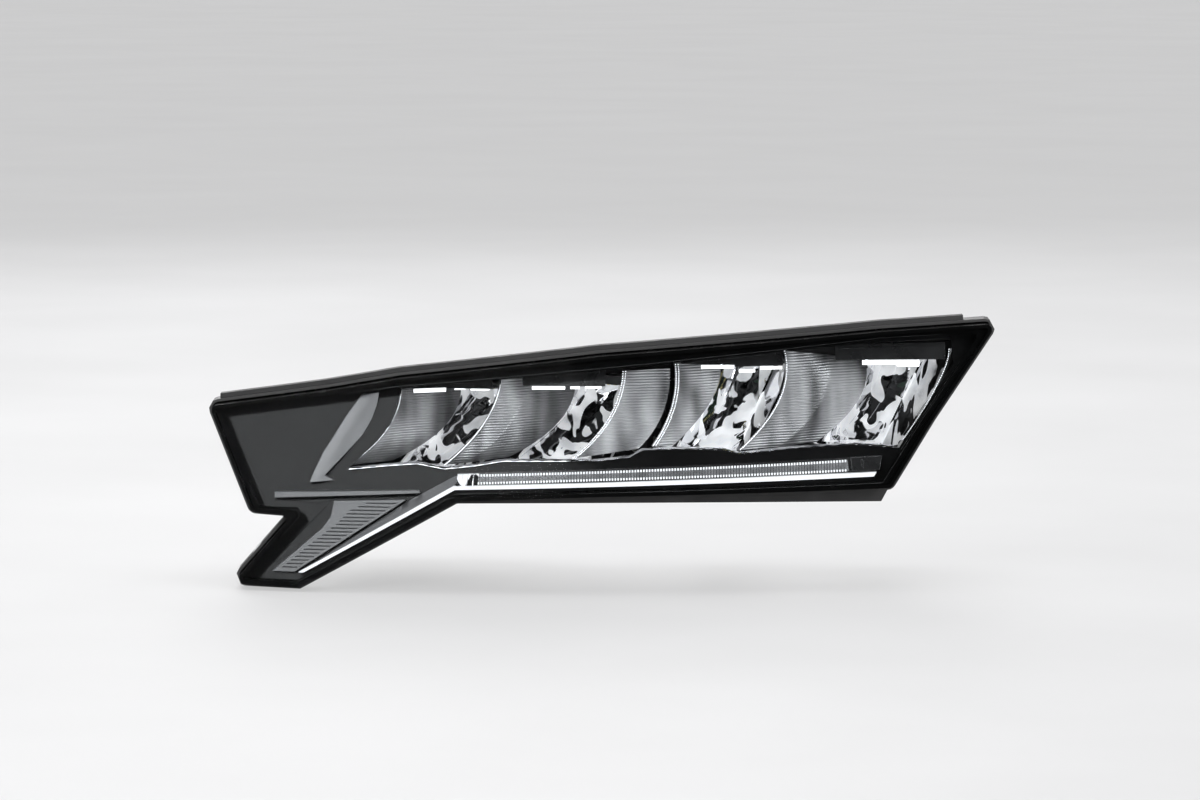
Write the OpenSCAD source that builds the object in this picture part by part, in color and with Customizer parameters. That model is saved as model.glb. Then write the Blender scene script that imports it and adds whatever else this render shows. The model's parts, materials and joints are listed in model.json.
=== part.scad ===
// Swept LED reflector headlamp for the left side of a car.
// +X points outboard, +Y to the rear, +Z up. The beam leaves along -Y.
// The origin is the centre of the inner mounting eye, on its top face.

/* [Lens] */
// Angle between the lens and the car's width
sweep = 36; // [34:1:38]
// Backward lean of the lens
rake = 20; // [18:1:22]
// Bow radius of the lens
lens_r = 1100; // [1050:50:1200]
// Wall thickness of the lens
lens_t = 3; // [2.6:0.1:3.4]
// Thickness of the lens skirt and of each wall beside it
skirt_t = 2.5; // [2:0.1:2.6]

/* [Housing] */
// Wall thickness of the housing
wall = 2.5; // [2:0.1:3]
// Downward slope of the housing towards the rear
drop = 6; // [5:0.5:7]
// Radius of the service opening
service_r = 33; // [30:1:34]
// Radius of the hole in each mounting sleeve
eye_r = 3.3; // [3.2:0.1:3.6]
// Thickness of the mounting eyes
eye_t = 5; // [4:0.5:6]

/* [Light cells] */
// Depth of the bezel and the fins' front edges behind the lens face
set_back = 16; // [15.5:0.5:17]
// Thickness of the ribbed fins
fin_t = 2; // [1.6:0.2:2.4]
// Wall thickness of the reflector bowls
bowl_t = 2.5; // [2:0.1:3]

/* [Aiming] */
// Height of the tilt pins above the lens's lowest point
tilt_z = 76; // [75.5:0.5:76.5]
// Radius of the tilt pins
tilt_pin_r = 3; // [2.5:0.1:3]
// Radius of the pan pins
pan_pin_r = 4; // [3.5:0.1:4]
// Radial running clearance of every pin and screw
play = 0.05; // [0.03:0.01:0.08]
// Radius of the leveller's ball
ball_r = 4; // [3.5:0.1:4]

/* [Hidden] */
$fn = 64;

// Colours
black = [0.03, 0.03, 0.035];
dark_grey = [0.22, 0.22, 0.23];
light_grey = [0.6, 0.6, 0.61];
chrome = [0.85, 0.86, 0.88];
steel = [0.6, 0.61, 0.63];
white = [0.93, 0.93, 0.93];
clear = [0.8, 0.85, 0.9, 0.35];

// The inner mounting eye, measured from the lens's lowest inner point
datum = [30, 288, 133];
gap = 0.1;
bow_u = 300;
corner_r = 4;

// Outline of the lens across the chord, clockwise from the inner top corner.
// The last seven points are the hook that drops at the inner end.
outline = [[0, 127], [87, 140], [143, 150], [291, 167], [499, 183], [588, 187], [538, 119],
  [506, 71], [291, 67], [185, 63], [69, 0], [20, 1], [64, 51], [33, 52.5]];
// Edge of the clear area inside the black border
window = [[8, 124.5], [87, 135.5], [143, 143], [308, 158.5], [498, 177], [574, 180], [528, 118.5],
  [499, 75.5], [290, 70.5], [179, 66], [66.5, 3.5], [29, 4], [71, 50], [68, 56], [39, 56]];
// Front face of the rear shell, without the hook
shell_face = [[5, 124], [87, 138], [143, 147.5], [291, 165], [499, 181], [577, 183.5], [533, 118],
  [500, 60], [183, 58.5], [39, 57]];
// Plan of the rear shell, with its rear wall stepping back towards the wheel
shell_plan = [[-36, 20], [-36, 236], [-10, 262], [112, 292], [186, 329], [193, 371], [268, 371],
  [296, 420], [316, 452], [380, 466], [440, 466], [440, 300], [240, 20]];
// Opening in the bezel for the light cells, clockwise from the inner top corner
cells = [[143, 143], [308, 158], [498, 176.5], [553, 178], [555, 158], [540, 137], [514, 98],
  [480, 101], [430, 99], [394, 95.5], [382, 98.5], [345, 99.5], [322, 98.5], [313, 93.5],
  [290, 91], [219, 90.5], [199, 87], [176, 84.5], [156, 88], [132, 86], [104, 83], [127, 104.5],
  [136, 116], [141, 128]];
crescent = [[114, 137], [103, 122], [93, 106], [86, 95.5], [79, 81], [76, 73.5], [94, 75],
  [87, 78.5], [103, 95], [115, 108], [122, 120], [125.5, 130], [127, 139]];
blade = [[50, 66], [158, 69.5], [158, 67.5], [50, 62]];
grille = [[94.5, 60.5], [148, 62.5], [65.5, 9.5], [49, 9.5], [86, 41], [92, 49]];
// Part of the foot grille that its level slots cross, and the step between them
slot_pitch = 2.6;
slotted = [[121, 60.5], [142, 60.5], [65, 11], [54.5, 11], [76, 28.5], [97, 44.5], [106, 54]];
strip = [[68.5, 9.3], [183, 72.8], [291, 75.8], [439, 80.2], [495.5, 81.5], [493.5, 78.5], [439, 77],
  [291, 73], [184, 70.2], [72.2, 9.3]];
guide = [[189, 80.5], [202, 81.3], [291, 84], [439, 89.2], [474, 90.6], [475, 82.8], [439, 81.6],
  [291, 77.6], [202, 74.6], [187, 74]];
guide_seat = [[186, 82], [202, 82.6], [291, 85.3], [439, 90.5], [478, 92], [479, 81.8],
  [439, 80.9], [291, 76.6], [202, 73.6], [184, 73]];

// Eyelash fins: front and rear edges across the chord as curve controls, and plan flare from the
// beam direction. A depth above zero sets the rear edge's depth instead of the flare.
fins = [
  [[[143.5, 144], [143, 112], [108, 88]], [[187, 143], [188, 114], [143, 92]], 20, 0],
  [[[217.5, 150], [215, 119], [180, 90]], [[273, 152], [275, 119], [228, 95]], 20, 0],
  [[[308, 155], [306, 121], [274, 95]], [[343, 157], [344, 124], [322, 102]], 20, 9],
  [[[346, 165], [352, 133], [332, 104]], [[381, 161], [384, 137], [348, 104]], 20, 0],
  [[[428, 169], [437, 136], [398, 101]], [[490, 163], [498, 136], [456, 106]], 20, 0],
  [[[552, 168], [552, 150], [516, 103]], [[550, 167], [550, 149], [514, 103]], 0, 14]
];

// Reflector bowls: inner and outer side, front edge and back at the top, top and floor heights,
// and how far the floor's sides lie inboard of the top's
bowls = [[80, 130, 207, 237, 139, 82, 26], [150, 212, 258, 287, 142, 86, 25],
  [243, 288, 313, 338, 158, 97, 8], [316, 366, 401, 430, 161, 99, 9]];
bowl_focus = 21;
bowl_rake = 0.75;
cheek_t = 2;

// Aim mechanism, in plan
pan_at = [226, 300];
main_axis_y = 250;
low_axis_y = 358;
plate_z = 62;
plate_t = 3.5;
ball_at = [226, 345, tilt_z + 46];
rod_at = [200, tilt_z + 42];
rod_hole_r = 3.6;
// Inboard faces of the frame's two uprights, for the main beam and for the low beam
main_uprights = [58, 213];
low_uprights = [228, 329];
upright_t = 5;
screw_at = [176, 92];
setter_at = [254, tilt_z + 46];
cap_at = [70, 98];
eyes = [[30, 288, 133], [285, 424, 153]];
outer_eye = [345, 466, 142];
low_eye = [20, 155, 30];

// Depth coordinate of a surface that lies d behind the lens face, at chord place u and height w
function skin_v(u, w, d) =
  (lens_r - sqrt(pow(lens_r - d, 2) - pow(u - bow_u, 2)) + w * sin(rake)) / cos(rake);

function unit(v) = v / norm(v);

function edge_normal(a, b) = let (e = unit(b - a)) [e.y, -e.x];

// A clockwise outline moved inwards by d
function inset(p, d) = [for (i = [0:len(p) - 1])
  let (a = p[(i + len(p) - 1) % len(p)], b = p[i], c = p[(i + 1) % len(p)],
    n = edge_normal(a, b), m = edge_normal(b, c))
  b + d * (n + m) / (1 + n * m)];

// An outline with its sharp corners turned into arcs, of radius outer where it turns clockwise
// and inner where it turns back
function rounded(p, outer, inner, steps = 3) = [for (i = [0:len(p) - 1])
  let (a = p[(i + len(p) - 1) % len(p)], b = p[i], c = p[(i + 1) % len(p)],
    e = unit(a - b), f = unit(c - b), half = acos(e * f) / 2,
    r = e.x * f.y - e.y * f.x > 0 ? outer : inner,
    from_corner = r / tan(half), centre = b + unit(e + f) * r / sin(half),
    start = b + e * from_corner - centre, end = b + f * from_corner - centre)
  each (half > 75 ? [b] :
    [for (k = [0:steps]) centre + r * unit(start * (steps - k) / steps + end * k / steps)])];

// The lens outline moved in by d, with arcs that share their centres at every d
function lens_outline(d) = rounded(inset(outline, d), max(corner_r - d, 1), max(corner_r + d, 1));

function curve(c, t) = c[0] * pow(1 - t, 2) + 2 * c[1] * t * (1 - t) + c[2] * pow(t, 2);

function bowl_mid(b) = (b[0] + b[1]) / 2;

// Car axes, measured from the lens's lowest inner point
module car() translate(-datum) children();

// Lamp axes: X along the lens chord, Y into the lamp, Z up
module swept() rotate([0, 0, sweep]) children();

module lamp() car() swept() children();

module prism(p, v0 = -40, v1 = 240)
  translate([0, v1, 0]) rotate([90, 0, 0]) linear_extrude(v1 - v0) polygon(p);

// Everything that lies more than d behind the lens face
module behind(d)
  rotate([-rake, 0, 0]) translate([bow_u, lens_r, -300]) cylinder(r = lens_r - d, h = 800, $fn = 360);

// A plate with outline p that follows the lens, from depth d0 to depth d1
module sheet(p, d0, d1) intersection() {
  prism(p);
  difference() {
    behind(d0);
    behind(d1);
  }
}

// A wall that follows the lens outline, between two insets and two depths
module rim(in0, in1, d0, d1) difference() {
  sheet(lens_outline(in0), d0, d1);
  prism(lens_outline(in1), -41, 241);
}

module box(a, b) translate(a) cube(b - a);

module rod_y(at, y0, y1, r) translate([at[0], y1, at[1]]) rotate([90, 0, 0]) cylinder(r = r, h = y1 - y0);

module rod_x(x0, x1, y, z, r) translate([x0, y, z]) rotate([0, 90, 0]) cylinder(r = r, h = x1 - x0);

module rod_z(at, z0, z1, r) translate([at[0], at[1], z0]) cylinder(r = r, h = z1 - z0);

// The rear shell's block, made smaller by g on every side
module shell_block(g) intersection() {
  translate([0, 50, 0]) rotate([-drop, 0, 0]) translate([0, -50, 0])
    prism(inset(shell_face, g), -20, 330);
  rotate([0, 0, -sweep]) translate([0, 0, -20]) linear_extrude(240) polygon(inset(shell_plan, g));
}

module housing_solid() {
  swept() {
    rim(-3, -1, 14, 34);
    rim(skirt_t + 1, skirt_t + 3, 22, 34);
    sheet(lens_outline(-3), 30, 34);
    intersection() {
      shell_block(0);
      behind(31);
    }
  }
  // turrets for the leveller and the service opening
  rod_y([ball_at.x, ball_at.z], 335, 372, 24);
  rod_y(cap_at, 255, 298, service_r + wall);
  // guide boss of the horizontal adjuster
  rod_y(screw_at, 318, 342, 8);
  // mounting eyes with their arms
  for (e = eyes) {
    rod_z([e.x, e.y], e.z - eye_t, e.z, 12);
    box([e.x - 11.5, e.y - 42, e.z - eye_t], [e.x + 11.5, e.y, e.z]);
    box([e.x - 2, e.y - 42, e.z - eye_t - 10], [e.x + 2, e.y - 9, e.z - eye_t + 1]);
  }
  // outboard eye and lower inner eye, both bolted along Y
  rod_y([outer_eye.x, outer_eye.z], outer_eye.y - eye_t, outer_eye.y, 12);
  box([outer_eye.x - 30, outer_eye.y - eye_t, outer_eye.z - 11.5],
    [outer_eye.x, outer_eye.y, outer_eye.z + 11.5]);
  box([outer_eye.x - 24, outer_eye.y - 30, outer_eye.z - 2],
    [outer_eye.x - 13, outer_eye.y - 1, outer_eye.z + 2]);
  rod_y([low_eye.x, low_eye.z], low_eye.y - eye_t, low_eye.y, 12);
  box([low_eye.x - 11.5, low_eye.y - eye_t, low_eye.z], [low_eye.x + 11.5, low_eye.y, low_eye.z + 26]);
  // frame around the main connector
  box([118, 292, 96], [158, 318, 128]);
  // stiffening ribs across the rear walls
  for (x = [128:15:158])
    box([x, 292 + (x - 112) * 0.5, 66], [x + 2, 300 + (x - 112) * 0.5, 92]);
  for (b = [[271, 375], [291, 409]])
    box([b.x, b.y, 70], [b.x + 2, b.y + 8, 140]);
  for (y = [120:25:220])
    box([-38, y, 112], [-34, y + 2, 122]);
}

module housing_hollow() {
  swept() {
    intersection() {
      shell_block(wall);
      behind(34 + wall);
    }
    intersection() {
      shell_block(wall);
      sheet(inset(outline, skirt_t + 3.6), 20, 42);
    }
  }
  rod_y([ball_at.x, ball_at.z], 300, 372 - wall, 24 - wall);
  rod_y([ball_at.x, ball_at.z], 360, 380, 15);
  rod_y(cap_at, 240, 305, service_r);
  rod_y(screw_at, 300, 350, 5);
  for (e = eyes)
    rod_z([e.x, e.y], e.z - eye_t - 1, e.z + 1, eye_r + 1.5);
  for (e = [outer_eye, low_eye])
    rod_y([e.x, e.z], e.y - eye_t - 1, e.y + 1, eye_r + 1.5);
  box([122, 280, 100], [154, 320, 124]);
  for (b = [[280, 96], [4, 110]])
    rod_y(b, 240, 440, 4);
}

// Bosses that carry the pan pins, from the floor and from the roof
module pan_bosses() {
  intersection() {
    union() {
      rod_z(pan_at, 50, 60, 8);
      rod_z(pan_at, 154, 175, 8);
    }
    swept() shell_block(0.5);
  }
}

module housing() color(black) car() difference() {
  union() {
    difference() {
      housing_solid();
      housing_hollow();
    }
    pan_bosses();
  }
  rod_z(pan_at, 57, 61, pan_pin_r + play);
  rod_z(pan_at, 150, 160, pan_pin_r + play);
}

module lens() color(clear) lamp() {
  sheet(lens_outline(0), 0, lens_t);
  rim(0, skirt_t, lens_t - 0.5, 24);
}

module lens_border() color(black) lamp() difference() {
  sheet(lens_outline(skirt_t + gap), lens_t + gap, lens_t + 2);
  prism(rounded(window, 1.5, 1.5), -41, 241);
}

module sealing_bead() color([0.08, 0.08, 0.08]) lamp() rim(-0.9, skirt_t + 0.9, 24 + gap, 30 - gap);

// Rubber strip that fills the slit between the lamp and the bonnet
module top_seal_strip() color(black) lamp() intersection() {
  rim(-6.5, -3 - gap, 17, 27);
  prism([[7, 110], [7, 240], [563, 240], [563, 184.5], [499, 174], [291, 158], [87, 131]]);
}

module bezel() color(dark_grey) lamp() {
  difference() {
    sheet(lens_outline(skirt_t + 0.7), set_back - 2, set_back + 0.5);
    prism(cells, -41, 241);
  }
  // standing wall behind the bezel's edge, away from the moving bowls
  intersection() {
    rim(7, 9, set_back - 1, 30 - gap);
    prism([[-10, -10], [-10, 150], [95, 150], [95, 79], [480, 79], [480, -10]]);
  }
}

module crescent_fin() color(light_grey) lamp() sheet(crescent, set_back - 6, set_back - 2 - gap);

module trim_blade() color(light_grey) lamp() sheet(blade, set_back - 9, set_back - 2 - gap);

module foot_grille() color(light_grey) lamp() difference() {
  sheet(grille, set_back - 5, set_back - 2 - gap);
  intersection() {
    sheet(slotted, set_back - 6, set_back - 3);
    for (w = [12.2:slot_pitch:60])
      translate([40, -40, w]) cube([115, 200, slot_pitch / 3]);
  }
}

module signature_strip() color(white) lamp() sheet(strip, set_back - 9.5, set_back - 2 - gap);

module signature_guide() color(clear) lamp() sheet(guide, set_back - 9, set_back - 4);

// Shallow tray around the light guide
module guide_holder() color(chrome) lamp() difference() {
  sheet(guide_seat, set_back - 7, set_back - 2 - gap);
  sheet(inset(guide, -gap), set_back - 10, set_back - 4 + gap);
  sheet(inset(strip, -gap), set_back - 10, set_back);
}

module signature_led_board() color([0.1, 0.2, 0.12]) lamp() {
  sheet([[440, 92], [492, 93], [494, 82], [440, 79]], set_back + 0.6, set_back + 2.2);
  for (u = [448:11:481])
    sheet([[u, 88], [u + 3, 88], [u + 3, 85], [u, 85]], set_back + 2.2, set_back + 3);
}

// A fin swept between its front and rear edges; u is the chord, v the depth
function fin_point(f, t, s, off) =
  let (a = curve(f[0], t), b = curve(f[1], t), turn = sweep + f[2],
    run = f[3] > 0 ? f[3] : (b.x - a.x) / tan(turn),
    side = f[3] > 0 ? atan2(b.x - a.x, run) : turn)
  [a.x + (b.x - a.x) * s - off * cos(side),
    skin_v(a.x, a.y, set_back + 0.6) + run * s + off * sin(side),
    a.y + (b.y - a.y) * s - run * s * tan(drop)];

module fin_solid(f, rows = 12, cols = 5) {
  n = (rows + 1) * (cols + 1);
  function at(k, i, j) = k * n + i * (cols + 1) + j;
  points = [for (k = [0, 1], i = [0:rows], j = [0:cols]) fin_point(f, i / rows, j / cols, k * fin_t)];
  function quad(a, b, c, d) = [[a, b, c], [a, c, d]];
  front = [for (i = [0:rows - 1], j = [0:cols - 1])
    each quad(at(0, i, j), at(0, i, j + 1), at(0, i + 1, j + 1), at(0, i + 1, j))];
  back = [for (i = [0:rows - 1], j = [0:cols - 1])
    each quad(at(1, i, j), at(1, i + 1, j), at(1, i + 1, j + 1), at(1, i, j + 1))];
  ends = [for (j = [0:cols - 1]) each concat(
    quad(at(0, 0, j), at(1, 0, j), at(1, 0, j + 1), at(0, 0, j + 1)),
    quad(at(0, rows, j), at(0, rows, j + 1), at(1, rows, j + 1), at(1, rows, j)))];
  edges = [for (i = [0:rows - 1]) each concat(
    quad(at(0, i, 0), at(0, i + 1, 0), at(1, i + 1, 0), at(1, i, 0)),
    quad(at(0, i, cols), at(1, i, cols), at(1, i + 1, cols), at(0, i + 1, cols)))];
  polyhedron(points, concat(front, back, ends, edges));
}

module cell_fin(k) color(chrome) lamp() fin_solid(fins[k]);

// Bright ledge along the bottom of the cells
module cell_lip() color(chrome) lamp() difference() {
  intersection() {
    sheet(inset(cells, 0.15), set_back - 4, set_back + 4);
    prism([[118, 75], [118, 90], [200, 92], [300, 95], [318, 103], [509, 105], [515, 90]]);
  }
  prism(inset(cells, 1.4), -41, 241);
}

module bezel_screws() color(steel) lamp()
  for (p = [[27, 100], [100, 68], [300, 82]])
    translate([p.x, skin_v(p.x, p.y, set_back + 2.6), p.y]) rotate([-90, 0, 0]) {
      cylinder(r = 4, h = 2.4);
      cylinder(r = 1.9, h = 9);
    }

module sleeve_z(e) difference() {
  rod_z([e.x, e.y], e.z - eye_t, e.z, eye_r + 1.5 - gap);
  rod_z([e.x, e.y], e.z - eye_t - 1, e.z + 1, eye_r);
}

module sleeve_y(e) difference() {
  rod_y([e.x, e.z], e.y - eye_t, e.y, eye_r + 1.5 - gap);
  rod_y([e.x, e.z], e.y - eye_t - 1, e.y + 1, eye_r);
}

module mount_sleeves() color(steel) car() {
  for (e = eyes)
    sleeve_z(e);
  sleeve_y(outer_eye);
  sleeve_y(low_eye);
}

// Levelling motor on its turret, with a gear case for the manual setting shaft
module leveller_motor() color(black) car() difference() {
  union() {
    rod_y([ball_at.x, ball_at.z], 366, 372, 13);
    rod_y([ball_at.x, ball_at.z], 372 + gap, 378, 25);
    rod_y([ball_at.x, ball_at.z], 366, 398, 14.8);
    box([ball_at.x - 19, 378, ball_at.z - 22], [ball_at.x + 18, 408, ball_at.z + 20]);
    box([ball_at.x + 17, 382, ball_at.z - 12], [setter_at[0] + 9, 404, ball_at.z + 11]);
    box([ball_at.x - 12, 390, ball_at.z - 34], [ball_at.x + 10, 404, ball_at.z - 21]);
  }
  rod_y([ball_at.x, ball_at.z], 360, 400, 3.5 + play);
  rod_y(setter_at, 370, 410, 3 + play);
  box([ball_at.x - 9, 392, ball_at.z - 36], [ball_at.x + 7, 402, ball_at.z - 26]);
}

module leveller_seal() color([0.25, 0.08, 0.05]) car() difference() {
  rod_y([ball_at.x, ball_at.z], 372 - wall + gap, 372 - 0.5, 15 - 0.02);
  rod_y([ball_at.x, ball_at.z], 360, 380, 14.8 + 0.02);
}

module leveller_spindle() color(white) car() {
  translate(ball_at) sphere(r = ball_r);
  rod_y([ball_at.x, ball_at.z], ball_at.y + 2, 396, 2.4);
  rod_y([ball_at.x, ball_at.z], 362, 396, 3.5);
}

module vertical_adjuster() color(white) car() {
  rod_y(setter_at, 376, 411, 3);
  translate([setter_at[0], 417, setter_at[1]]) rotate([90, 0, 0]) cylinder(r = 6, h = 8, $fn = 6);
}

module horizontal_adjuster() color(white) car() {
  rod_y(screw_at, 296, 346, 3);
  translate([screw_at[0], 350, screw_at[1]]) rotate([90, 0, 0]) difference() {
    cylinder(r = 9, h = 6);
    for (a = [0:30:330])
      rotate([0, 0, a]) translate([9.5, 0, -1]) cylinder(r = 1.4, h = 8, $fn = 24);
    translate([0, 0, -1]) cylinder(r = 3.5, h = 4, $fn = 6);
  }
}

module adjuster_guide() color(white) car() difference() {
  union() {
    rod_y(screw_at, 320, 343.5, 5 - gap);
    rod_y(screw_at, 342 + gap, 343.5, 8);
  }
  rod_y(screw_at, 310, 350, 3 + play);
}

module control_unit() color(steel) car() {
  box([-60, 118, 62], [-39, 222, 114]);
  for (y = [124:8:212])
    box([-64, y, 66], [-59, y + 2.5, 110]);
  box([-56, 222, 74], [-42, 234, 102]);
}

module control_unit_gasket() color([0.2, 0.2, 0.2]) car() difference() {
  box([-39 + gap, 122, 66], [-36 - gap, 218, 110]);
  box([-40, 126, 70], [-35, 214, 106]);
}

module control_unit_screws() color(steel) car()
  for (y = [114.5, 228], z = [70, 106])
    rod_x(-44, -36 - gap, y, z, 3);

module main_connector() color(black) car() difference() {
  union() {
    box([122 + gap, 296, 100 + gap], [154 - gap, 332, 124 - gap]);
    box([118, 318 + gap, 96], [158, 321, 128]);
  }
  box([125, 306, 103], [151, 340, 121]);
}

// A cable drawn through a list of points
module cable(p, r) {
  for (i = [0:len(p) - 2])
    let (d = p[i + 1] - p[i]) {
      translate(p[i]) rotate([0, acos(d.z / norm(d)), atan2(d.y, d.x)])
        cylinder(r = r, h = norm(d), $fn = 24);
      if (i > 0)
        translate(p[i]) cube(2 * r + 3, center = true);
    }
}

module wiring_loom() color([0.06, 0.06, 0.06]) car() {
  cable([[138, 295, 112], [138, 284, 112], [120, 276, 106], [60, 262, 90], [20, 252, 80]], 3);
  cable([[-20, 240, 86], [-20, 200, 86], [-20, 150, 84], [-10, 120, 76]], 2.5);
}

module breather_caps() color(black) car()
  for (b = [[280, 405.5, 96], [4, 266, 110]]) {
    rod_y([b.x, b.z], b.y - 14, b.y + 8, 4 - gap);
    difference() {
      rod_y([b.x, b.z], b.y + 3, b.y + 13, 9);
      rod_y([b.x, b.z], b.y + 1, b.y + 11, 7);
    }
    rod_y([b.x, b.z], b.y + 7, b.y + 12, 4 - gap);
  }

// Bayonet cap over the service opening
module service_cap() color(black) car() {
  difference() {
    union() {
      rod_y(cap_at, 298 + gap, 302, service_r + 6);
      rod_y(cap_at, 284, 300, service_r - 2.1);
    }
    rod_y(cap_at, 280, 299, service_r - 5);
  }
  box([cap_at[0] - 28, 301, cap_at[1] - 3], [cap_at[0] + 28, 311, cap_at[1] + 3]);
  for (a = [0:30:330])
    translate([cap_at[0], 304, cap_at[1]]) rotate([90, a, 0])
      translate([service_r + 5, -2, 0]) cube([3, 4, 6]);
}

module service_cap_seal() color([0.25, 0.08, 0.05]) car() difference() {
  rod_y(cap_at, 289, 293, service_r - 0.05);
  rod_y(cap_at, 280, 300, service_r - 2.05);
}

// Frame that pans; it carries both reflector carriers on their tilt pins
module aim_frame() color(steel) car() difference() {
  union() {
    box([main_uprights[0], main_axis_y - 8, plate_z], [223, main_axis_y + 8, plate_z + plate_t]);
    box([218, main_axis_y + 2, plate_z], [234, low_axis_y + 8, plate_z + plate_t]);
    box([218, low_axis_y - 8, plate_z], [low_uprights[1] + upright_t, low_axis_y + 8, plate_z + plate_t]);
    box([166, 296, plate_z], [234, 310, plate_z + plate_t]);
    for (x = main_uprights)
      box([x, main_axis_y - 6, plate_z], [x + upright_t, main_axis_y + 6, tilt_z + 6]);
    for (x = low_uprights)
      box([x, low_axis_y - 6, plate_z], [x + upright_t, low_axis_y + 6, tilt_z + 6]);
    box([219, 293, plate_z], [233, 307, 150]);
    box([168, 299, plate_z], [184, 307, 101]);
  }
  for (x = main_uprights)
    rod_x(x - 1, x + upright_t + 1, main_axis_y, tilt_z, tilt_pin_r + 0.02);
  for (x = low_uprights)
    rod_x(x - 1, x + upright_t + 1, low_axis_y, tilt_z, tilt_pin_r + 0.02);
  rod_z(pan_at, plate_z - 1, 75, pan_pin_r + 0.02);
  rod_z(pan_at, 140, 151, pan_pin_r + 0.02);
  rod_y(screw_at, 290, 310, 5.5);
}

module pan_pins() color(steel) car() {
  rod_z(pan_at, 57.5, 74.5, pan_pin_r);
  rod_z(pan_at, 140.5, 159, pan_pin_r);
}

// Two pins in line, one through each upright
module pin_pair(x, y) {
  rod_x(x[0] - 1, x[0] + 15, y, tilt_z, tilt_pin_r);
  rod_x(x[1] - 10, x[1] + upright_t + 1, y, tilt_z, tilt_pin_r);
}

module tilt_pins() color(steel) car() {
  pin_pair(main_uprights, main_axis_y);
  pin_pair(low_uprights, low_axis_y);
}

module adjuster_nut() color(white) car() difference() {
  union() {
    rod_y(screw_at, 299, 307, 5.5 - gap);
    rod_y(screw_at, 307 + gap, 309, 7.5);
    rod_y(screw_at, 306, 308, 5.5 - gap);
  }
  rod_y(screw_at, 290, 312, 3.6);
}

// Bar between a pair of uprights, with a round bush at each end
module carrier_bar(x, y) {
  x0 = x[0] + upright_t + 0.5;
  x1 = x[1] - 0.5;
  box([x0 + 8, y - 6, tilt_z - 6], [x1 - 8, y + 6, tilt_z + 5]);
  rod_x(x0, x0 + 9, y, tilt_z, 6);
  rod_x(x1 - 9, x1, y, tilt_z, 6);
}

module carrier_bores(x, y) {
  rod_x(x[0], x[0] + 17, y, tilt_z, tilt_pin_r + play);
  rod_x(x[1] - 12, x[1] + 1, y, tilt_z, tilt_pin_r + play);
}

module main_beam_carrier() color(black) car() difference() {
  union() {
    carrier_bar(main_uprights, main_axis_y);
    box([97, 246, tilt_z], [109, 251, 106]);
    box([186, 252, 71], [194, 296, 79]);
    box([186, 288, 71], [194, 296, 110]);
    box([186, 288, 108], [207, 294, 126]);
  }
  carrier_bores(main_uprights, main_axis_y);
  rod_y(rod_at, 286, 300, rod_hole_r);
}

module low_beam_carrier() color(black) car() difference() {
  union() {
    carrier_bar(low_uprights, low_axis_y);
    box([252, 330, 71], [262, 355, 79]);
    box([252, 330, 72], [262, 336, 128]);
    box([194, 330, 112], [262, 336, 128]);
    box([312, 363, 72], [326, 381, 95]);
    difference() {
      box([ball_at.x - 9, 335, ball_at.z - 9], [ball_at.x + 9, 353, ball_at.z + 9]);
      box([ball_at.x - 6.5, ball_at.y - ball_r - 0.1, ball_at.z - 6.5],
        [ball_at.x + 6.5, ball_at.y + ball_r + 0.1, ball_at.z + 6.5]);
      box([ball_at.x - 4.4, ball_at.y, ball_at.z - 4.4], [ball_at.x + 4.4, 360, ball_at.z + 4.4]);
    }
  }
  carrier_bores(low_uprights, low_axis_y);
  rod_y(rod_at, 320, 340, rod_hole_r);
}

// Rod between the two carriers; it slides in a wide hole at each end
module tie_rod() color(steel) car() {
  rod_y(rod_at, 284, 340, 2);
  for (y = [284, 294.4, 327.6, 338])
    rod_y(rod_at, y, y + 2, 4.8);
}

module paraboloid(focus, d, r = 90, steps = 15)
  rotate([-90, 0, 0]) rotate_extrude($fn = 96)
    polygon(concat([for (i = [0:steps]) [r * i / steps, d - pow(r * i / steps, 2) / (4 * focus)]],
      [[0, -pow(r, 2) / (4 * focus)]]));

// The space a bowl fills, with sides moved in by side, a floor moved up by lift and the top at z1
module bowl_room(b, side, lift, z1) {
  lean = b[6] / (b[4] - b[5]);
  z0 = b[5] - cheek_t + lift;
  function shift(z) = lean * (b[4] - z);
  intersection() {
    translate([0, 500, 0]) rotate([90, 0, 0]) linear_extrude(500)
      polygon([[b[0] + side - shift(z0), z0], [b[0] + side - shift(z1), z1],
        [b[1] - side - shift(z1), z1], [b[1] - side - shift(z0), z0]]);
    rotate([90, 0, 90]) linear_extrude(500)
      polygon([[b[2] - side - bowl_rake * (b[4] - z0), z0], [b[2] - side - bowl_rake * (b[4] - z1), z1],
        [b[3] + 9, z1], [b[3] + 9, z0]]);
  }
}

// Half bowl whose focus lies in its top plane, with flat cheeks on both sides and a flat floor
module bowl(b) color(chrome) car() intersection() {
  difference() {
    intersection() {
      bowl_room(b, 0, 0, b[4]);
      translate([bowl_mid(b), b[3], b[4]]) paraboloid(bowl_focus, bowl_t);
    }
    intersection() {
      bowl_room(b, cheek_t, cheek_t, b[4] + 1);
      translate([bowl_mid(b), b[3], b[4]]) paraboloid(bowl_focus, 0);
    }
  }
  swept() behind(set_back + 8);
  swept() prism(inset(outline, 10));
}

module led_board(b) {
  box([b[0] + 4, b[3] - 24, b[4] + gap], [b[1] - 4, b[3] + 4, b[4] + 1.3]);
  box([bowl_mid(b) - 3, b[3] - bowl_focus - 2, b[4] - 0.8],
    [bowl_mid(b) + 3, b[3] - bowl_focus + 2, b[4] + 1.3]);
}

// Plate on the LED board that reaches tail behind the bowl, with fins hanging from x0 to x1
module heat_sink(b, x0, x1, fin_z, tail) {
  box([b[0] + 2, b[3] - 22, b[4] + 1.4], [b[1] - 2, b[3] + tail, b[4] + 3]);
  for (x = [x0:5:x1])
    box([x, b[3] + 5, fin_z], [x + 1.5, b[3] + tail, b[4] + 2]);
}

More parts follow.
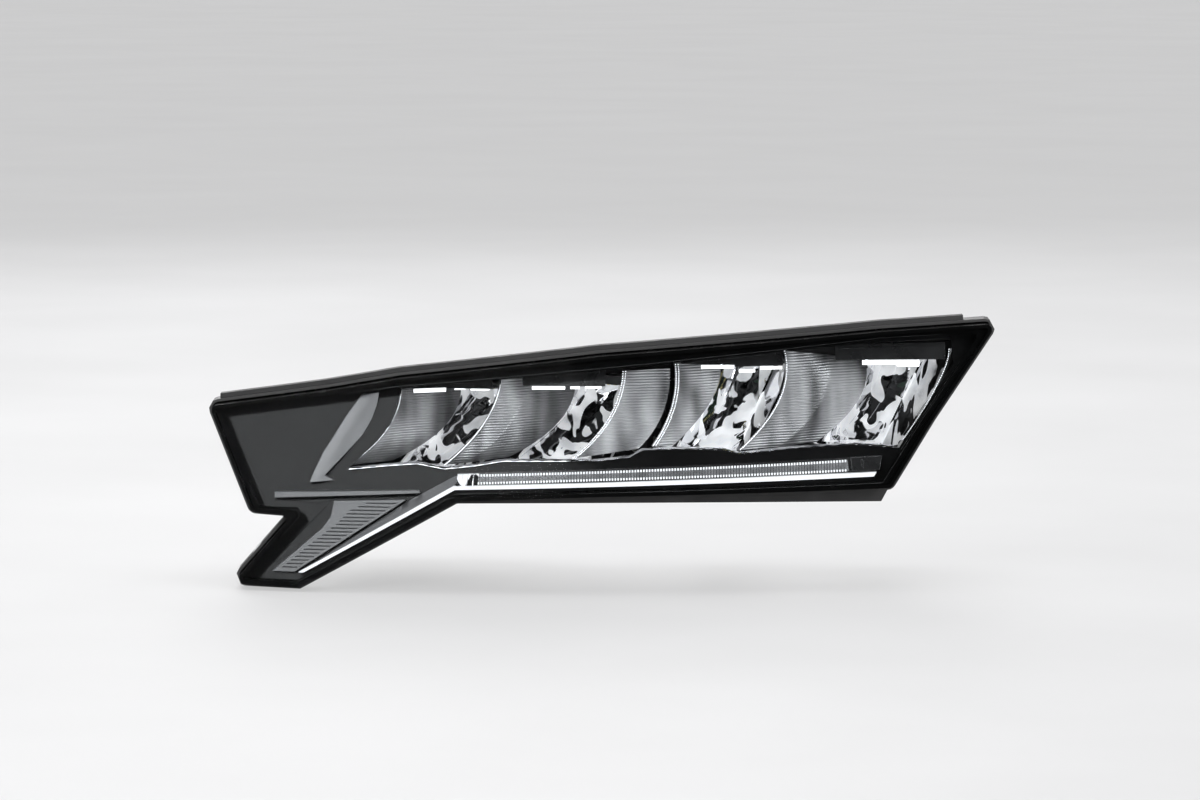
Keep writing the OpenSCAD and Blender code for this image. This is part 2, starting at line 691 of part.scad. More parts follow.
// Dark shade in front of the LED board, h high
module led_hood(b, h) swept_clip()
  box([b[0] - 1, b[2], b[4] + 0.2], [b[1] + 1, b[3] - 24 - gap, b[4] + h]);

// Keeps moving parts clear of the bezel and of the collar
module swept_clip() intersection() {
  union() children();
  swept() behind(set_back + 7);
  swept() prism(inset(outline, 10));
}

module main_reflector_inner() bowl(bowls[0]);
module main_reflector_outer() bowl(bowls[1]);
module low_reflector_inner() bowl(bowls[2]);
module low_reflector_outer() bowl(bowls[3]);

module main_led_boards() color([0.1, 0.2, 0.12]) car() {
  led_board(bowls[0]);
  led_board(bowls[1]);
}

module low_led_boards() color([0.1, 0.2, 0.12]) car() {
  led_board(bowls[2]);
  led_board(bowls[3]);
}

module main_heat_sinks() color(steel) car() {
  heat_sink(bowls[0], 84, 124, 112, 15);
  heat_sink(bowls[1], 162, 182, 112, 15);
}

module low_heat_sinks() color(steel) car() {
  heat_sink(bowls[2], 246, 281, 134, 15);
  heat_sink(bowls[3], 320, 345, 160, 11);
}

module main_led_hoods() color(dark_grey) car() {
  led_hood(bowls[0], 1.9);
  led_hood(bowls[1], 7);
}

module low_led_hoods() color(dark_grey) car() {
  led_hood(bowls[2], 3);
  led_hood(bowls[3], 3);
}

housing();
lens();
lens_border();
sealing_bead();
top_seal_strip();
bezel();
crescent_fin();
trim_blade();
foot_grille();
signature_strip();
signature_guide();
guide_holder();
signature_led_board();
cell_fin(0);  // cell_fin_1
cell_fin(1);  // cell_fin_2
cell_fin(2);  // cell_fin_3
cell_fin(3);  // cell_fin_4
cell_fin(4);  // cell_fin_5
cell_fin(5);  // end_fin
cell_lip();
bezel_screws();
mount_sleeves();
leveller_motor();
leveller_seal();
control_unit();
control_unit_gasket();
control_unit_screws();
main_connector();
wiring_loom();
breather_caps();
adjuster_guide();
service_cap();
service_cap_seal();
horizontal_adjuster();
vertical_adjuster();
leveller_spindle();
aim_frame();
pan_pins();
tilt_pins();
adjuster_nut();
main_beam_carrier();
main_reflector_inner();
main_reflector_outer();
main_led_boards();
main_heat_sinks();
main_led_hoods();
low_beam_carrier();
low_reflector_inner();
low_reflector_outer();
low_led_boards();
low_heat_sinks();
low_led_hoods();
tie_rod();
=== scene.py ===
import json
import math

import bpy
import numpy as np
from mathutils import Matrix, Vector
from mathutils.geometry import tessellate_polygon


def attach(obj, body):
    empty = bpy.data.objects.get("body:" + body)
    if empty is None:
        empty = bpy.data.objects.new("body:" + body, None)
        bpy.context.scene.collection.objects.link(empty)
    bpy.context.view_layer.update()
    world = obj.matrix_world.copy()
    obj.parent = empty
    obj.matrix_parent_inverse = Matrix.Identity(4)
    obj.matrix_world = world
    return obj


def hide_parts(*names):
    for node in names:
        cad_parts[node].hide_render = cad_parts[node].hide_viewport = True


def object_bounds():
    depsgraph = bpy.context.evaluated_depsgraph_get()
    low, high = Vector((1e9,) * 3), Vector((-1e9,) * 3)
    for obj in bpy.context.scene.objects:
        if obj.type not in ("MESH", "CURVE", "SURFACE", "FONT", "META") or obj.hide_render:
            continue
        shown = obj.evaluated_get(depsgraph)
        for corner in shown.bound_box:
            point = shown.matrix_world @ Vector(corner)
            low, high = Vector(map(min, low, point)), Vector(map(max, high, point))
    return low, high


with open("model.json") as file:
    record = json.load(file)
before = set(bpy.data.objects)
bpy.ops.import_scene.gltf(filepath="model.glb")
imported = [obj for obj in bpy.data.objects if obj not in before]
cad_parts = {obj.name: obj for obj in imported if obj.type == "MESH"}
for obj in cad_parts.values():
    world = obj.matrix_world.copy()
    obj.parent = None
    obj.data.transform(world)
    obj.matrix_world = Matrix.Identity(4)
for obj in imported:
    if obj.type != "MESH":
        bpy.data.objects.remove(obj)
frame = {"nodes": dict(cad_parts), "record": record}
first_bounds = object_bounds()

# ---------------------------------------------------------------- shared frame
MM = 0.001
DATUM = np.array([30.0, 288.0, 133.0])
# the lamp's turn about the upright axis, the lens's lean, and the camera's angle down to the lamp
SWEEP, RAKE, DROP = (math.radians(a) for a in (36, 20, 6))
LENS_R, BOW_U, SET_BACK = 1100.0, 300.0, 16.0
SLOT_OF = {s["node"]: s["material_slot"] for s in frame["record"]["subparts"]}


def car(points):
    """Car axes in mm to the part's frame in metres."""
    return (np.asarray(points, float) - DATUM) * MM


def lamp(points):
    """Lamp axes (chord, depth, height) in mm to the part's frame in metres."""
    p = np.asarray(points, float)
    c, s = math.cos(SWEEP), math.sin(SWEEP)
    turned = np.stack([p[..., 0] * c - p[..., 1] * s, p[..., 0] * s + p[..., 1] * c, p[..., 2]], -1)
    return (turned - DATUM) * MM


def skin_v(u, w, d=0.0):
    """Depth of the surface that lies d behind the lens face."""
    u, w = np.asarray(u, float), np.asarray(w, float)
    root = np.sqrt((LENS_R - d) ** 2 - (u - BOW_U) ** 2)
    return (LENS_R - root + w * math.sin(RAKE)) / math.cos(RAKE)


def on_skin(points, d):
    p = np.asarray(points, float)
    return lamp(np.stack([p[:, 0], skin_v(p[:, 0], p[:, 1], d), p[:, 1]], -1))


# ---------------------------------------------------------------- materials
def grey(v):
    return (v, v, v * 1.02)


def rgba(colour):
    return (*colour, 1) if hasattr(colour, "__len__") else (colour, colour, colour, 1)


class Nodes:
    """Short way to write a node tree."""

    def __init__(self, name):
        self.mat = bpy.data.materials.new(name)
        self.mat.use_nodes = True
        self.tree = self.mat.node_tree
        self.tree.nodes.clear()
        self.out = self.tree.nodes.new("ShaderNodeOutputMaterial")
        self.coord = self.add("TexCoord").outputs["Object"]

    def add(self, kind, **values):
        node = self.tree.nodes.new("ShaderNode" + kind)
        for key, value in values.items():
            if key in node.inputs:
                if hasattr(value, "links"):
                    self.tree.links.new(value, node.inputs[key])
                else:
                    node.inputs[key].default_value = value
            else:
                setattr(node, key, value)
        return node

    def link(self, a, b):
        self.tree.links.new(a, b)

    def noise(self, scale, detail=3.0, stretch=(1, 1, 1), distortion=0.0):
        place = self.add("Mapping", Scale=stretch)
        self.link(self.coord, place.inputs["Vector"])
        made = self.add("TexNoise", Scale=scale, Detail=detail, Distortion=distortion)
        self.link(place.outputs["Vector"], made.inputs["Vector"])
        return made.outputs["Fac"]

    def ramp(self, value, low, high, a=0.3, b=0.7):
        """Runs from low at a to high at b; each is a colour or a grey level."""
        made = self.add("ValToRGB")
        made.color_ramp.elements[0].position = a
        made.color_ramp.elements[1].position = b
        made.color_ramp.elements[0].color = rgba(low)
        made.color_ramp.elements[1].color = rgba(high)
        self.link(value, made.inputs["Fac"])
        return made.outputs["Color"]

    def spread(self, value, low, high):
        """Stretches the middle of a noise to run from low to high."""
        made = self.add("MapRange")
        self.link(value, made.inputs["Value"])
        made.inputs["From Min"].default_value = 0.3
        made.inputs["From Max"].default_value = 0.7
        made.inputs["To Min"].default_value = low
        made.inputs["To Max"].default_value = high
        return made.outputs["Result"]

    def bump(self, height, strength, distance=0.0002, edge=0.0):
        made = self.add("Bump", Strength=strength, Distance=distance)
        self.link(height, made.inputs["Height"])
        if edge:
            soft = self.add("Bevel", Radius=edge)
            soft.samples = 4
            self.link(soft.outputs["Normal"], made.inputs["Normal"])
        return made.outputs["Normal"]

    def maths(self, operation, a, b):
        made = self.add("Math", operation=operation)
        for place, value in zip(made.inputs, (a, b)):
            if hasattr(value, "links"):
                self.link(value, place)
            else:
                place.default_value = value
        return made.outputs["Value"]

    def mix(self, share, a, b):
        made = self.add("MixShader", Fac=share)
        self.link(a.outputs[0], made.inputs[1])
        self.link(b.outputs[0], made.inputs[2])
        return made

    def finish(self, shader):
        self.link(shader.outputs[0], self.out.inputs["Surface"])
        return self.mat


def surface(name, dark, light, rough, metal=0.0, scale=60, grain=900, relief=0.15, depth=0.0002,
            edge=0.0, specular=0.5, stretch=(1, 1, 1), glow=0.0, detail=4, bands=(1, 1, 1)):
    """A finish whose colour, roughness and relief all vary with place.

    scale and detail set the broad patches of colour and roughness, drawn out along bands. grain,
    relief and depth set the fine bumps, drawn out along stretch. edge rounds sharp corners.
    """
    n = Nodes(name)
    broad = n.noise(scale, detail, bands)
    fine = n.bump(n.noise(grain, 2, stretch), relief, depth, edge)
    shader = n.add("BsdfPrincipled", Metallic=metal, IOR=1.5, Normal=fine, Roughness=n.spread(broad, *rough))
    n.link(n.ramp(broad, dark, light), shader.inputs["Base Color"])
    shader.inputs["Specular IOR Level"].default_value = specular
    # glow lights the finish from within: painted brightness on parts that are no lamps
    if glow:
        shader.inputs["Emission Color"].default_value = (1, 1, 1, 1)
        n.link(n.spread(broad, glow * 0.85, glow), shader.inputs["Emission Strength"])
    return n.finish(shader)


def clear_plastic(name, tint, gloss, milk=0.0):
    """See-through plastic: light goes straight on, and its outer face reflects a little."""
    n = Nodes(name)
    through = n.add("BsdfTransparent", Color=(*tint, 1))
    shine = n.add("BsdfGlossy", Roughness=0.015, Color=(1, 1, 1, 1), Normal=n.bump(n.noise(200, 1), 0.02))
    front = n.maths("SUBTRACT", 1.0, n.add("NewGeometry").outputs["Backfacing"])
    shown = n.maths("MULTIPLY", n.add("Fresnel", IOR=1.45).outputs["Fac"], front)
    last = n.mix(n.maths("MULTIPLY", shown, gloss), through, shine)
    if milk:
        cloud = n.add("BsdfPrincipled", Roughness=0.12, IOR=1.5)
        n.link(n.ramp(n.noise(40, 2), (0.5, 0.51, 0.52), (0.78, 0.79, 0.8)), cloud.inputs["Base Color"])
        last = n.mix(milk, last, cloud)
    return n.finish(last)


def chrome_with_painted_glare(name):
    """Bright metal broken by wavy white, self-lit patches of painted reflection, as inside a faceted
    reflector.
    """
    n = Nodes(name)
    wave = n.noise(52, 0.8, (1.4, 1.4, 0.5), 1.2)
    glare_share = n.ramp(wave, 0.0, 1.0, 0.485, 0.505)
    shiny = n.add("BsdfPrincipled", Metallic=1.0, Roughness=0.05)
    n.link(n.ramp(n.noise(20, 2), grey(0.86), grey(0.92)), shiny.inputs["Base Color"])
    n.link(n.bump(n.noise(60, 2), 0.03, 0.0004), shiny.inputs["Normal"])
    # white, self-lit patches: painted reflections that stand in for the reflector's bright facets
    painted_glare = n.add("BsdfPrincipled", Metallic=0.0, Roughness=0.3)
    n.link(n.ramp(n.noise(50, 2), grey(0.8), grey(0.98)), painted_glare.inputs["Base Color"])
    painted_glare.inputs["Emission Color"].default_value = (1, 1, 1, 1)
    n.link(n.spread(n.noise(70, 1), 0.05, 0.4), painted_glare.inputs["Emission Strength"])
    return n.finish(n.mix(glare_share, shiny, painted_glare))


# name: dark and light colour, least and greatest roughness, and what differs from the usual finish
FINISHES = {
    "housing_plastic": (grey(0.014), grey(0.022), (0.46, 0.62), dict(grain=1600, relief=0.3, edge=0.0006)),
    "gloss_black": (grey(0.002), grey(0.003), (0.2, 0.3), dict(grain=400, relief=0.02, specular=0.01)),
    "butyl": (grey(0.012), grey(0.02), (0.5, 0.7), dict(grain=700, relief=0.4)),
    "seal_rubber": (grey(0.012), grey(0.02), (0.6, 0.8), dict(grain=1200, relief=0.3, edge=0.0004)),
    "bezel_satin": (grey(0.006), grey(0.008), (0.13, 0.16),
                    dict(grain=300, relief=0.02, scale=25, specular=0.17)),
    "trim_grey": (grey(0.16), grey(0.2), (0.36, 0.42), dict(metal=0.6, grain=300, relief=0.03, scale=30)),
    "trim_dark": (grey(0.12), grey(0.15), (0.34, 0.42), dict(metal=0.3, grain=300, relief=0.03, scale=30)),
    # strip_white: white colour of its own, plus a glow that paints extra brightness; also used for the
    # painted highlight dots on the guide
    "strip_white": (grey(0.76), grey(0.84), (0.2, 0.3), dict(grain=500, relief=0.03, scale=30, glow=0.3)),
    "tooth": (grey(0.1), grey(0.2), (0.2, 0.3), dict(grain=300, relief=0.02, scale=90)),
    # glow: near-white and strongly self-lit, for the painted highlight strips under the cell brows
    "glow": (grey(0.9), grey(0.95), (0.3, 0.4), dict(grain=500, relief=0.02, glow=1.6)),
    "chrome_bright": (grey(0.86), grey(0.92), (0.03, 0.06),
                      dict(metal=1, scale=20, grain=60, relief=0.03, depth=0.0004)),
    "chrome_ribbed": (grey(0.1), grey(0.5), (0.3, 0.36),
                      dict(metal=0.6, scale=34, grain=60, relief=0.03, detail=1, bands=(1.6, 1.6, 0.4))),
    "led_board": ((0.006, 0.02, 0.01), (0.01, 0.035, 0.016), (0.3, 0.45), dict(relief=0.2, edge=0.0002)),
    "phosphor": ((0.8, 0.68, 0.25), (0.9, 0.78, 0.35), (0.4, 0.5), dict(grain=4000, relief=0.2)),
    "steel": (grey(0.45), grey(0.6), (0.22, 0.38), dict(metal=1, grain=1500, relief=0.1, edge=0.0003)),
    "brass": ((0.5, 0.33, 0.1), (0.62, 0.42, 0.14), (0.2, 0.3), dict(metal=1, relief=0.05)),
    "cast_aluminium": (grey(0.42), grey(0.56), (0.38, 0.55),
                       dict(metal=0.9, grain=1800, relief=0.35, edge=0.0005)),
    "frame_steel": (grey(0.03), grey(0.045), (0.3, 0.42),
                    dict(metal=0.2, grain=1500, relief=0.1, edge=0.0004)),
    "motor_plastic": (grey(0.018), grey(0.028), (0.35, 0.5), dict(grain=1400, relief=0.25, edge=0.0006)),
    "cap_plastic": (grey(0.02), grey(0.03), (0.4, 0.55), dict(grain=1700, relief=0.3, edge=0.0006)),
    "carrier_plastic": (grey(0.025), grey(0.035), (0.4, 0.55), dict(grain=1600, relief=0.25, edge=0.0005)),
    "hood_grey": (grey(0.012), grey(0.018), (0.18, 0.26), dict(grain=1200, relief=0.05, edge=0.0004)),
    "cable_black": (grey(0.014), grey(0.024), (0.45, 0.65), dict(relief=0.5, stretch=(1, 1, 3))),
    "adjuster_nylon": ((0.62, 0.61, 0.56), (0.7, 0.69, 0.65), (0.35, 0.5), dict(relief=0.1, edge=0.0004)),
    "label": (grey(0.5), grey(0.56), (0.4, 0.5), dict(relief=0.05, scale=40)),
}
MATERIALS = {name: surface(name, *look, **more) for name, (*look, more) in FINISHES.items()}
MATERIALS["lens_clear"] = clear_plastic("lens_clear", (0.97, 0.98, 0.985), 0.03)
MATERIALS["guide_clear"] = clear_plastic("guide_clear", (0.9, 0.91, 0.92), 1.0, milk=0.22)
# chrome with painted reflection patches, used on the reflector facets and on the guide's start
MATERIALS["chrome_bowl"] = chrome_with_painted_glare("chrome_bowl")


# ---------------------------------------------------------------- mesh tools
def axis(a, b, sides):
    """Both ends of an axis, and unit spokes square to it."""
    a, b = np.asarray(a, float), np.asarray(b, float)
    d = (b - a) / np.linalg.norm(b - a)
    side = np.cross(d, (0, 0, 1) if abs(d[2]) < 0.9 else (1, 0, 0))
    side /= np.linalg.norm(side)
    t = np.arange(sides) * 2 * math.pi / sides
    return a, b, np.cos(t)[:, None] * side + np.sin(t)[:, None] * np.cross(side, d)


def round_places(centre, radius, count, start=0.0):
    """Points in equal steps round a centre (x, z), from an angle in degrees."""
    for i in range(count):
        t = math.radians(start + 360 / count * i)
        yield centre[0] + radius * math.cos(t), centre[1] + radius * math.sin(t)


class Mesh:
    """Collects faces, then makes one object of them."""

    def __init__(self):
        self.verts, self.faces, self.count = [], [], 0

    def add(self, verts, faces):
        verts = np.asarray(verts, float).reshape(-1, 3)
        self.faces += [[i + self.count for i in f] for f in faces]
        self.verts.append(verts)
        self.count += len(verts)

    def grid(self, p, wrap=False, flip=False):
        """A surface through a rows x columns array of points."""
        rows, cols = p.shape[:2]
        faces = []
        for i in range(rows - 1):
            for j in range(cols if wrap else cols - 1):
                k = (j + 1) % cols
                f = [i * cols + j, i * cols + k, (i + 1) * cols + k, (i + 1) * cols + j]
                faces.append(f[::-1] if flip else f)
        self.add(p.reshape(-1, 3), faces)

    def slab(self, front, back):
        """A closed sheet between two grids of the same size."""
        self.grid(front)
        self.grid(back, flip=True)
        for pair in ((front[0], back[0]), (back[-1], front[-1]),
                     (back[:, 0], front[:, 0]), (front[:, -1], back[:, -1])):
            self.grid(np.stack(pair), flip=True)

    def tube(self, path, radius, sides=10):
        """A round bar along a path, with a radius that may vary."""
        path = np.asarray(path, float)
        radius = np.broadcast_to(np.asarray(radius, float), (len(path),))
        along = np.gradient(path, axis=0)
        along /= np.linalg.norm(along, axis=1)[:, None]
        up = np.array([0.0, 0.0, 1.0]) if abs(along[0][2]) < 0.9 else np.array([1.0, 0.0, 0.0])
        rings = []
        for p, d, r in zip(path, along, radius):
            side = np.cross(d, up)
            side /= np.linalg.norm(side)
            top = np.cross(side, d)
            a = np.arange(sides) * 2 * math.pi / sides
            rings.append(p + r * (np.cos(a)[:, None] * side + np.sin(a)[:, None] * top))
        self.cap(np.array(rings))

    def cap(self, rings):
        """A closed bar through rings of points."""
        sides = list(range(rings.shape[1]))
        self.grid(rings, wrap=True)
        self.add(rings[0], [sides])
        self.add(rings[-1], [sides[::-1]])

    def block(self, lo, hi, place=car):
        """A box between two corners."""
        x, y, z = zip(lo, hi)
        v = [(a, b, c) for a in x for b in y for c in z]
        sides = [(0, 1, 3, 2), (4, 6, 7, 5), (0, 4, 5, 1), (2, 3, 7, 6), (0, 2, 6, 4), (1, 5, 7, 3)]
        self.add(place(v), sides)

    def peg(self, at, half, y0, y1):
        """A square block that runs along y, round the axis through at = (x, z)."""
        self.block([at[0] - half, y0, at[1] - half], [at[0] + half, y1, at[1] + half])

    def drum(self, a, b, r, sides=32, place=car):
        """A cylinder from a to b."""
        a, b, spokes = axis(a, b, sides)
        self.cap(place(np.stack([a + spokes * r, b + spokes * r])))

    def ring(self, a, b, r0, r1, sides=48, place=car):
        """A hollow cylinder from a to b."""
        a, b, spokes = axis(a, b, sides)
        loop = [a + spokes * r0, a + spokes * r1, b + spokes * r1, b + spokes * r0, a + spokes * r0]
        self.grid(place(np.stack(loop)), wrap=True)

    def plate(self, outline, d0, d1, holes=(), step=6.0):
        """A plate that follows the lens, from depth d0 to depth d1; a depth may be a function of (u, w)."""
        loops = [[Vector((u, w, 0)) for u, w in loop] for loop in (outline, *holes)]
        flat = [v for loop in loops for v in loop]
        verts = [(v.x, v.y) for v in flat]
        polys = [list(t) for t in tessellate_polygon(loops)]
        lo, hi = min(v[0] for v in verts), max(v[0] for v in verts)
        verts, polys = slice_polygons(verts, polys, np.arange(math.ceil(lo / step) * step, hi, step))
        verts = np.array(verts)
        u, w = verts.T

        def turns(p):
            return sum(u[j] * w[i] - u[i] * w[j] for i, j in zip(p[-1:] + p[:-1], p))

        polys = [p if turns(p) < 0 else p[::-1] for p in polys]
        n = len(verts)

        def at(d):
            depth = d(u, w) if callable(d) else d
            return lamp(np.stack([u, skin_v(u, w) + depth / math.cos(RAKE), w], -1))

        # an edge that no second face runs along backwards lies on the rim; the order stays as drawn
        edges = dict.fromkeys((p[i - 1], p[i]) for p in polys for i in range(len(p)))
        rim = [e for e in edges if (e[1], e[0]) not in edges]
        faces = polys + [[i + n for i in p[::-1]] for p in polys] + [(b, a, a + n, b + n) for a, b in rim]
        self.add(np.concatenate([at(d0), at(d1)]), faces)

    def make(self, name, material, body, replaces=(), sharp=35, bevel=0.0, segments=2):
        """Makes the object: sharp in degrees splits the shading, bevel in mm rounds the edges."""
        data = bpy.data.meshes.new(name)
        data.from_pydata(np.concatenate(self.verts).tolist(), [], self.faces)
        data.validate()
        data.shade_smooth()
        data.set_sharp_from_angle(angle=math.radians(sharp))
        made = bpy.data.objects.new(name, data)
        bpy.context.scene.collection.objects.link(made)
        data.materials.append(MATERIALS[material])
        if bevel:
            mod = made.modifiers.new("soft_edge", "BEVEL")
            mod.width = bevel * MM
            mod.segments = segments
            mod.limit_method = "ANGLE"
            mod.angle_limit = math.radians(40)
            mod.harden_normals = True
        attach(made, body)
        if replaces:
            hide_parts(*replaces)
        return made


def slice_polygons(verts, polys, cuts):
    """Cuts flat polygons along lines of constant u, sharing the new corners."""
    verts = [tuple(v) for v in verts]
    index = {}

    def crossing(a, b, c):
        key = (min(a, b), max(a, b), round(c, 4))
        if key not in index:
            (x0, y0), (x1, y1) = verts[a], verts[b]
            t = (c - x0) / (x1 - x0)
            index[key] = len(verts)
            verts.append((c, y0 + (y1 - y0) * t))
        return index[key]

    for c in cuts:
        made = []
        for p in polys:
            xs = [verts[i][0] for i in p]
            if min(xs) >= c - 1e-9 or max(xs) <= c + 1e-9:
                made.append(p)
                continue
            left, right = [], []
            for i in range(len(p)):
                a, b = p[i], p[(i + 1) % len(p)]
                if verts[a][0] <= c + 1e-9:
                    left.append(a)
                if verts[a][0] >= c - 1e-9:
                    right.append(a)
                if (verts[a][0] - c) * (verts[b][0] - c) < -1e-12:
                    m = crossing(a, b, c)
                    left.append(m)
                    right.append(m)
            made += [q for q in (left, right) if len(q) > 2]
        polys = made
    return verts, polys


def inset(p, d):
    """An outline moved in by d, or out if d is below zero."""
    p = np.asarray(p, float)
    made = []
    for i in range(len(p)):
        e, f = p[i] - p[i - 1], p[(i + 1) % len(p)] - p[i]
        n, m = (np.array([v[1], -v[0]]) / np.linalg.norm(v) for v in (e, f))
        made.append(p[i] + d * (n + m) / (1 + n @ m))
    return np.array(made)


def rounded(p, r, steps=4):
    """An outline with each sharp corner turned into an arc of radius r."""
    p = np.asarray(p, float)
    made = []
    for i in range(len(p)):
        a, b, c = p[i - 1], p[i], p[(i + 1) % len(p)]
        e, f = (a - b) / np.linalg.norm(a - b), (c - b) / np.linalg.norm(c - b)
        half = math.acos(max(-1, min(1, e @ f))) / 2
        if half > math.radians(75):
            made.append(b)
            continue
        reach = r / math.tan(half)
        reach = min(reach, 0.45 * np.linalg.norm(a - b), 0.45 * np.linalg.norm(c - b))
        rr = reach * math.tan(half)
        centre = b + (e + f) / np.linalg.norm(e + f) * rr / math.sin(half)
        s, t = b + e * reach - centre, b + f * reach - centre
        for k in range(steps + 1):
            v = s * (steps - k) / steps + t * k / steps
            made.append(centre + rr * v / np.linalg.norm(v))
    return np.array(made)


def curve(c, t):
    """Points of a quadratic curve."""
    c = np.asarray(c, float)
    t = np.asarray(t, float)[..., None]
    return c[0] * (1 - t) ** 2 + 2 * c[1] * t * (1 - t) + c[2] * t**2


# ---------------------------------------------------------------- outlines, as in the solid model
OUTLINE = [[0, 127], [87, 140], [143, 150], [291, 167], [499, 183], [588, 187], [538, 119],
           [506, 71], [291, 67], [185, 63], [69, 0], [20, 1], [64, 51], [33, 52.5]]
WINDOW = [[8, 124.5], [87, 135.5], [143, 143], [308, 158.5], [498, 177], [574, 180], [528, 118.5],
          [499, 75.5], [290, 70.5], [179, 66], [66.5, 3.5], [29, 4], [71, 50], [68, 56], [39, 56]]
CELLS = [[143, 143], [308, 158], [498, 176.5], [553, 178], [555, 158], [540, 137], [514, 98],
         [480, 101], [430, 99], [394, 95.5], [382, 98.5], [345, 99.5], [322, 98.5], [313, 93.5],
         [290, 91], [219, 90.5], [199, 87], [176, 84.5], [156, 88], [132, 86], [104, 83], [127, 104.5],
         [136, 116], [141, 128]]
CRESCENT = [[114, 137], [103, 122], [93, 106], [86, 95.5], [79, 81], [76, 73.5], [94, 75],
            [87, 78.5], [103, 95], [115, 108], [122, 120], [125.5, 130], [127, 139]]
BLADE = [[50, 66], [158, 69.5], [158, 67.5], [50, 62]]
GRILLE = [[94.5, 60.5], [148, 62.5], [65.5, 9.5], [49, 9.5], [86, 41], [92, 49]]
SLOTTED = [[121, 60.5], [142, 60.5], [65, 11], [54.5, 11], [76, 28.5], [97, 44.5], [106, 54]]
SLOT_PITCH = 2.6
STRIP = [[68.5, 9.3], [183, 72.8], [291, 75.8], [439, 80.2], [495.5, 81.5], [493.5, 78.5], [439, 77],
         [291, 73], [184, 70.2], [72.2, 9.3]]
GUIDE = [[189, 80.5], [202, 81.3], [291, 84], [439, 89.2], [474, 90.6], [475, 82.8], [439, 81.6],
         [291, 77.6], [202, 74.6], [187, 74]]
GUIDE_SEAT = [[186, 82], [202, 82.6], [291, 85.3], [439, 90.5], [478, 92], [479, 81.8],
              [439, 80.9], [291, 76.6], [202, 73.6], [184, 73]]
FINS = [
    ([[143.5, 144], [143, 112], [108, 88]], [[187, 143], [188, 114], [143, 92]], 20, 0),
    ([[217.5, 150], [215, 119], [180, 90]], [[273, 152], [275, 119], [228, 95]], 20, 0),
    ([[308, 155], [306, 121], [274, 95]], [[343, 157], [344, 124], [322, 102]], 20, 9),
    ([[346, 165], [352, 133], [332, 104]], [[381, 161], [384, 137], [348, 104]], 20, 0),
    ([[428, 169], [437, 136], [398, 101]], [[490, 163], [498, 136], [456, 106]], 20, 0),
    ([[552, 168], [552, 150], [516, 103]], [[550, 167], [550, 149], [514, 103]], 0, 14),
]
BOWLS = [[80, 130, 207, 237, 139, 82, 26], [150, 212, 258, 287, 142, 86, 25],
         [243, 288, 313, 338, 158, 97, 8], [316, 366, 401, 430, 161, 99, 9]]
SHELL = "lamp_shell"
SEAT = 13.9  # depth at which the trim meets the bezel
LED_FACE = 18.8  # depth of the plane behind the cells' brows
PRISMS = np.arange(191, 473.5, 2.1)


# ---------------------------------------------------------------- lens and its black border
def lens_parts():
    face = rounded(OUTLINE, 4)
    m = Mesh()
    m.plate(rounded(inset(OUTLINE, 0.15), 3.9), 0, 3.0)
    m.make("lens_skin", "lens_clear", SHELL, replaces=["lens"], bevel=0.5)
    m = Mesh()
    inner = rounded(inset(OUTLINE, 2.5), 2)
    m.plate(face, 0.3, 23.9, holes=[inner])
    m.make("lens_skirt", "gloss_black", SHELL, bevel=0.3)
    m = Mesh()
    edge = rounded(inset(OUTLINE, 2.6), 2)
    m.plate(edge, 3.1, 5.0, holes=[rounded(WINDOW, 1.5)])
    m.make("lens_border_band", "gloss_black", SHELL, replaces=["lens_border"], bevel=0.3)
    # raised bead that runs round the window
    loop = rounded(inset(WINDOW, -1.2), 2.5)
    fine = []
    for a, b in zip(loop, np.roll(loop, -1, axis=0)):
        k = max(1, int(np.linalg.norm(b - a) / 6))
        fine += [a + (b - a) * t / k for t in range(k)]
    m = Mesh()
    m.tube(on_skin(np.array(fine + [loop[0]]), 3.35), 0.35 * MM, 8)
    m.make("border_bead", "hood_grey", SHELL)


def bezel_parts():
    m = Mesh()
    edge = rounded(inset(OUTLINE, 3.2), 2)
    m.plate(edge, 14.0, 16.5, holes=[CELLS])
    m.make("bezel_skin", "bezel_satin", SHELL, replaces=["bezel"], bevel=0.5, sharp=0.05)
    m = Mesh()
    # standing wall behind the bezel's edge
    m.plate(rounded(inset(OUTLINE, 7), 2), 16.4, 30.8, holes=[rounded(inset(OUTLINE, 9), 1.5)])
    m.make("bezel_wall", "bezel_satin", SHELL, bevel=0.3)
    m = Mesh()
    # crease that runs from the foot up to the light guide
    crease = [[60, 60], [92, 61.2], [90, 58], [84, 52], [64, 32], [60.8, 32], [80, 52], [86, 58]]
    m.plate(crease, 13.2, 14.2)
    m.make("bezel_creases", "bezel_satin", SHELL, bevel=0.5)
    m = Mesh()
    # ridge that runs from the foot up to the light guide, sloping away from the white strip
    m.plate([[82, 17.2], [150, 61.5], [183, 79], [188, 80.5], [187, 76], [183, 73.2], [84, 18.2]],
            lambda u, w: 9.5 + 3.5 * np.clip((w - 0.5546 * u + 28.7) / 6.0, 0, 1), 14.2, step=3)
    m.make("bezel_ridge", "trim_grey", SHELL, bevel=0.5)


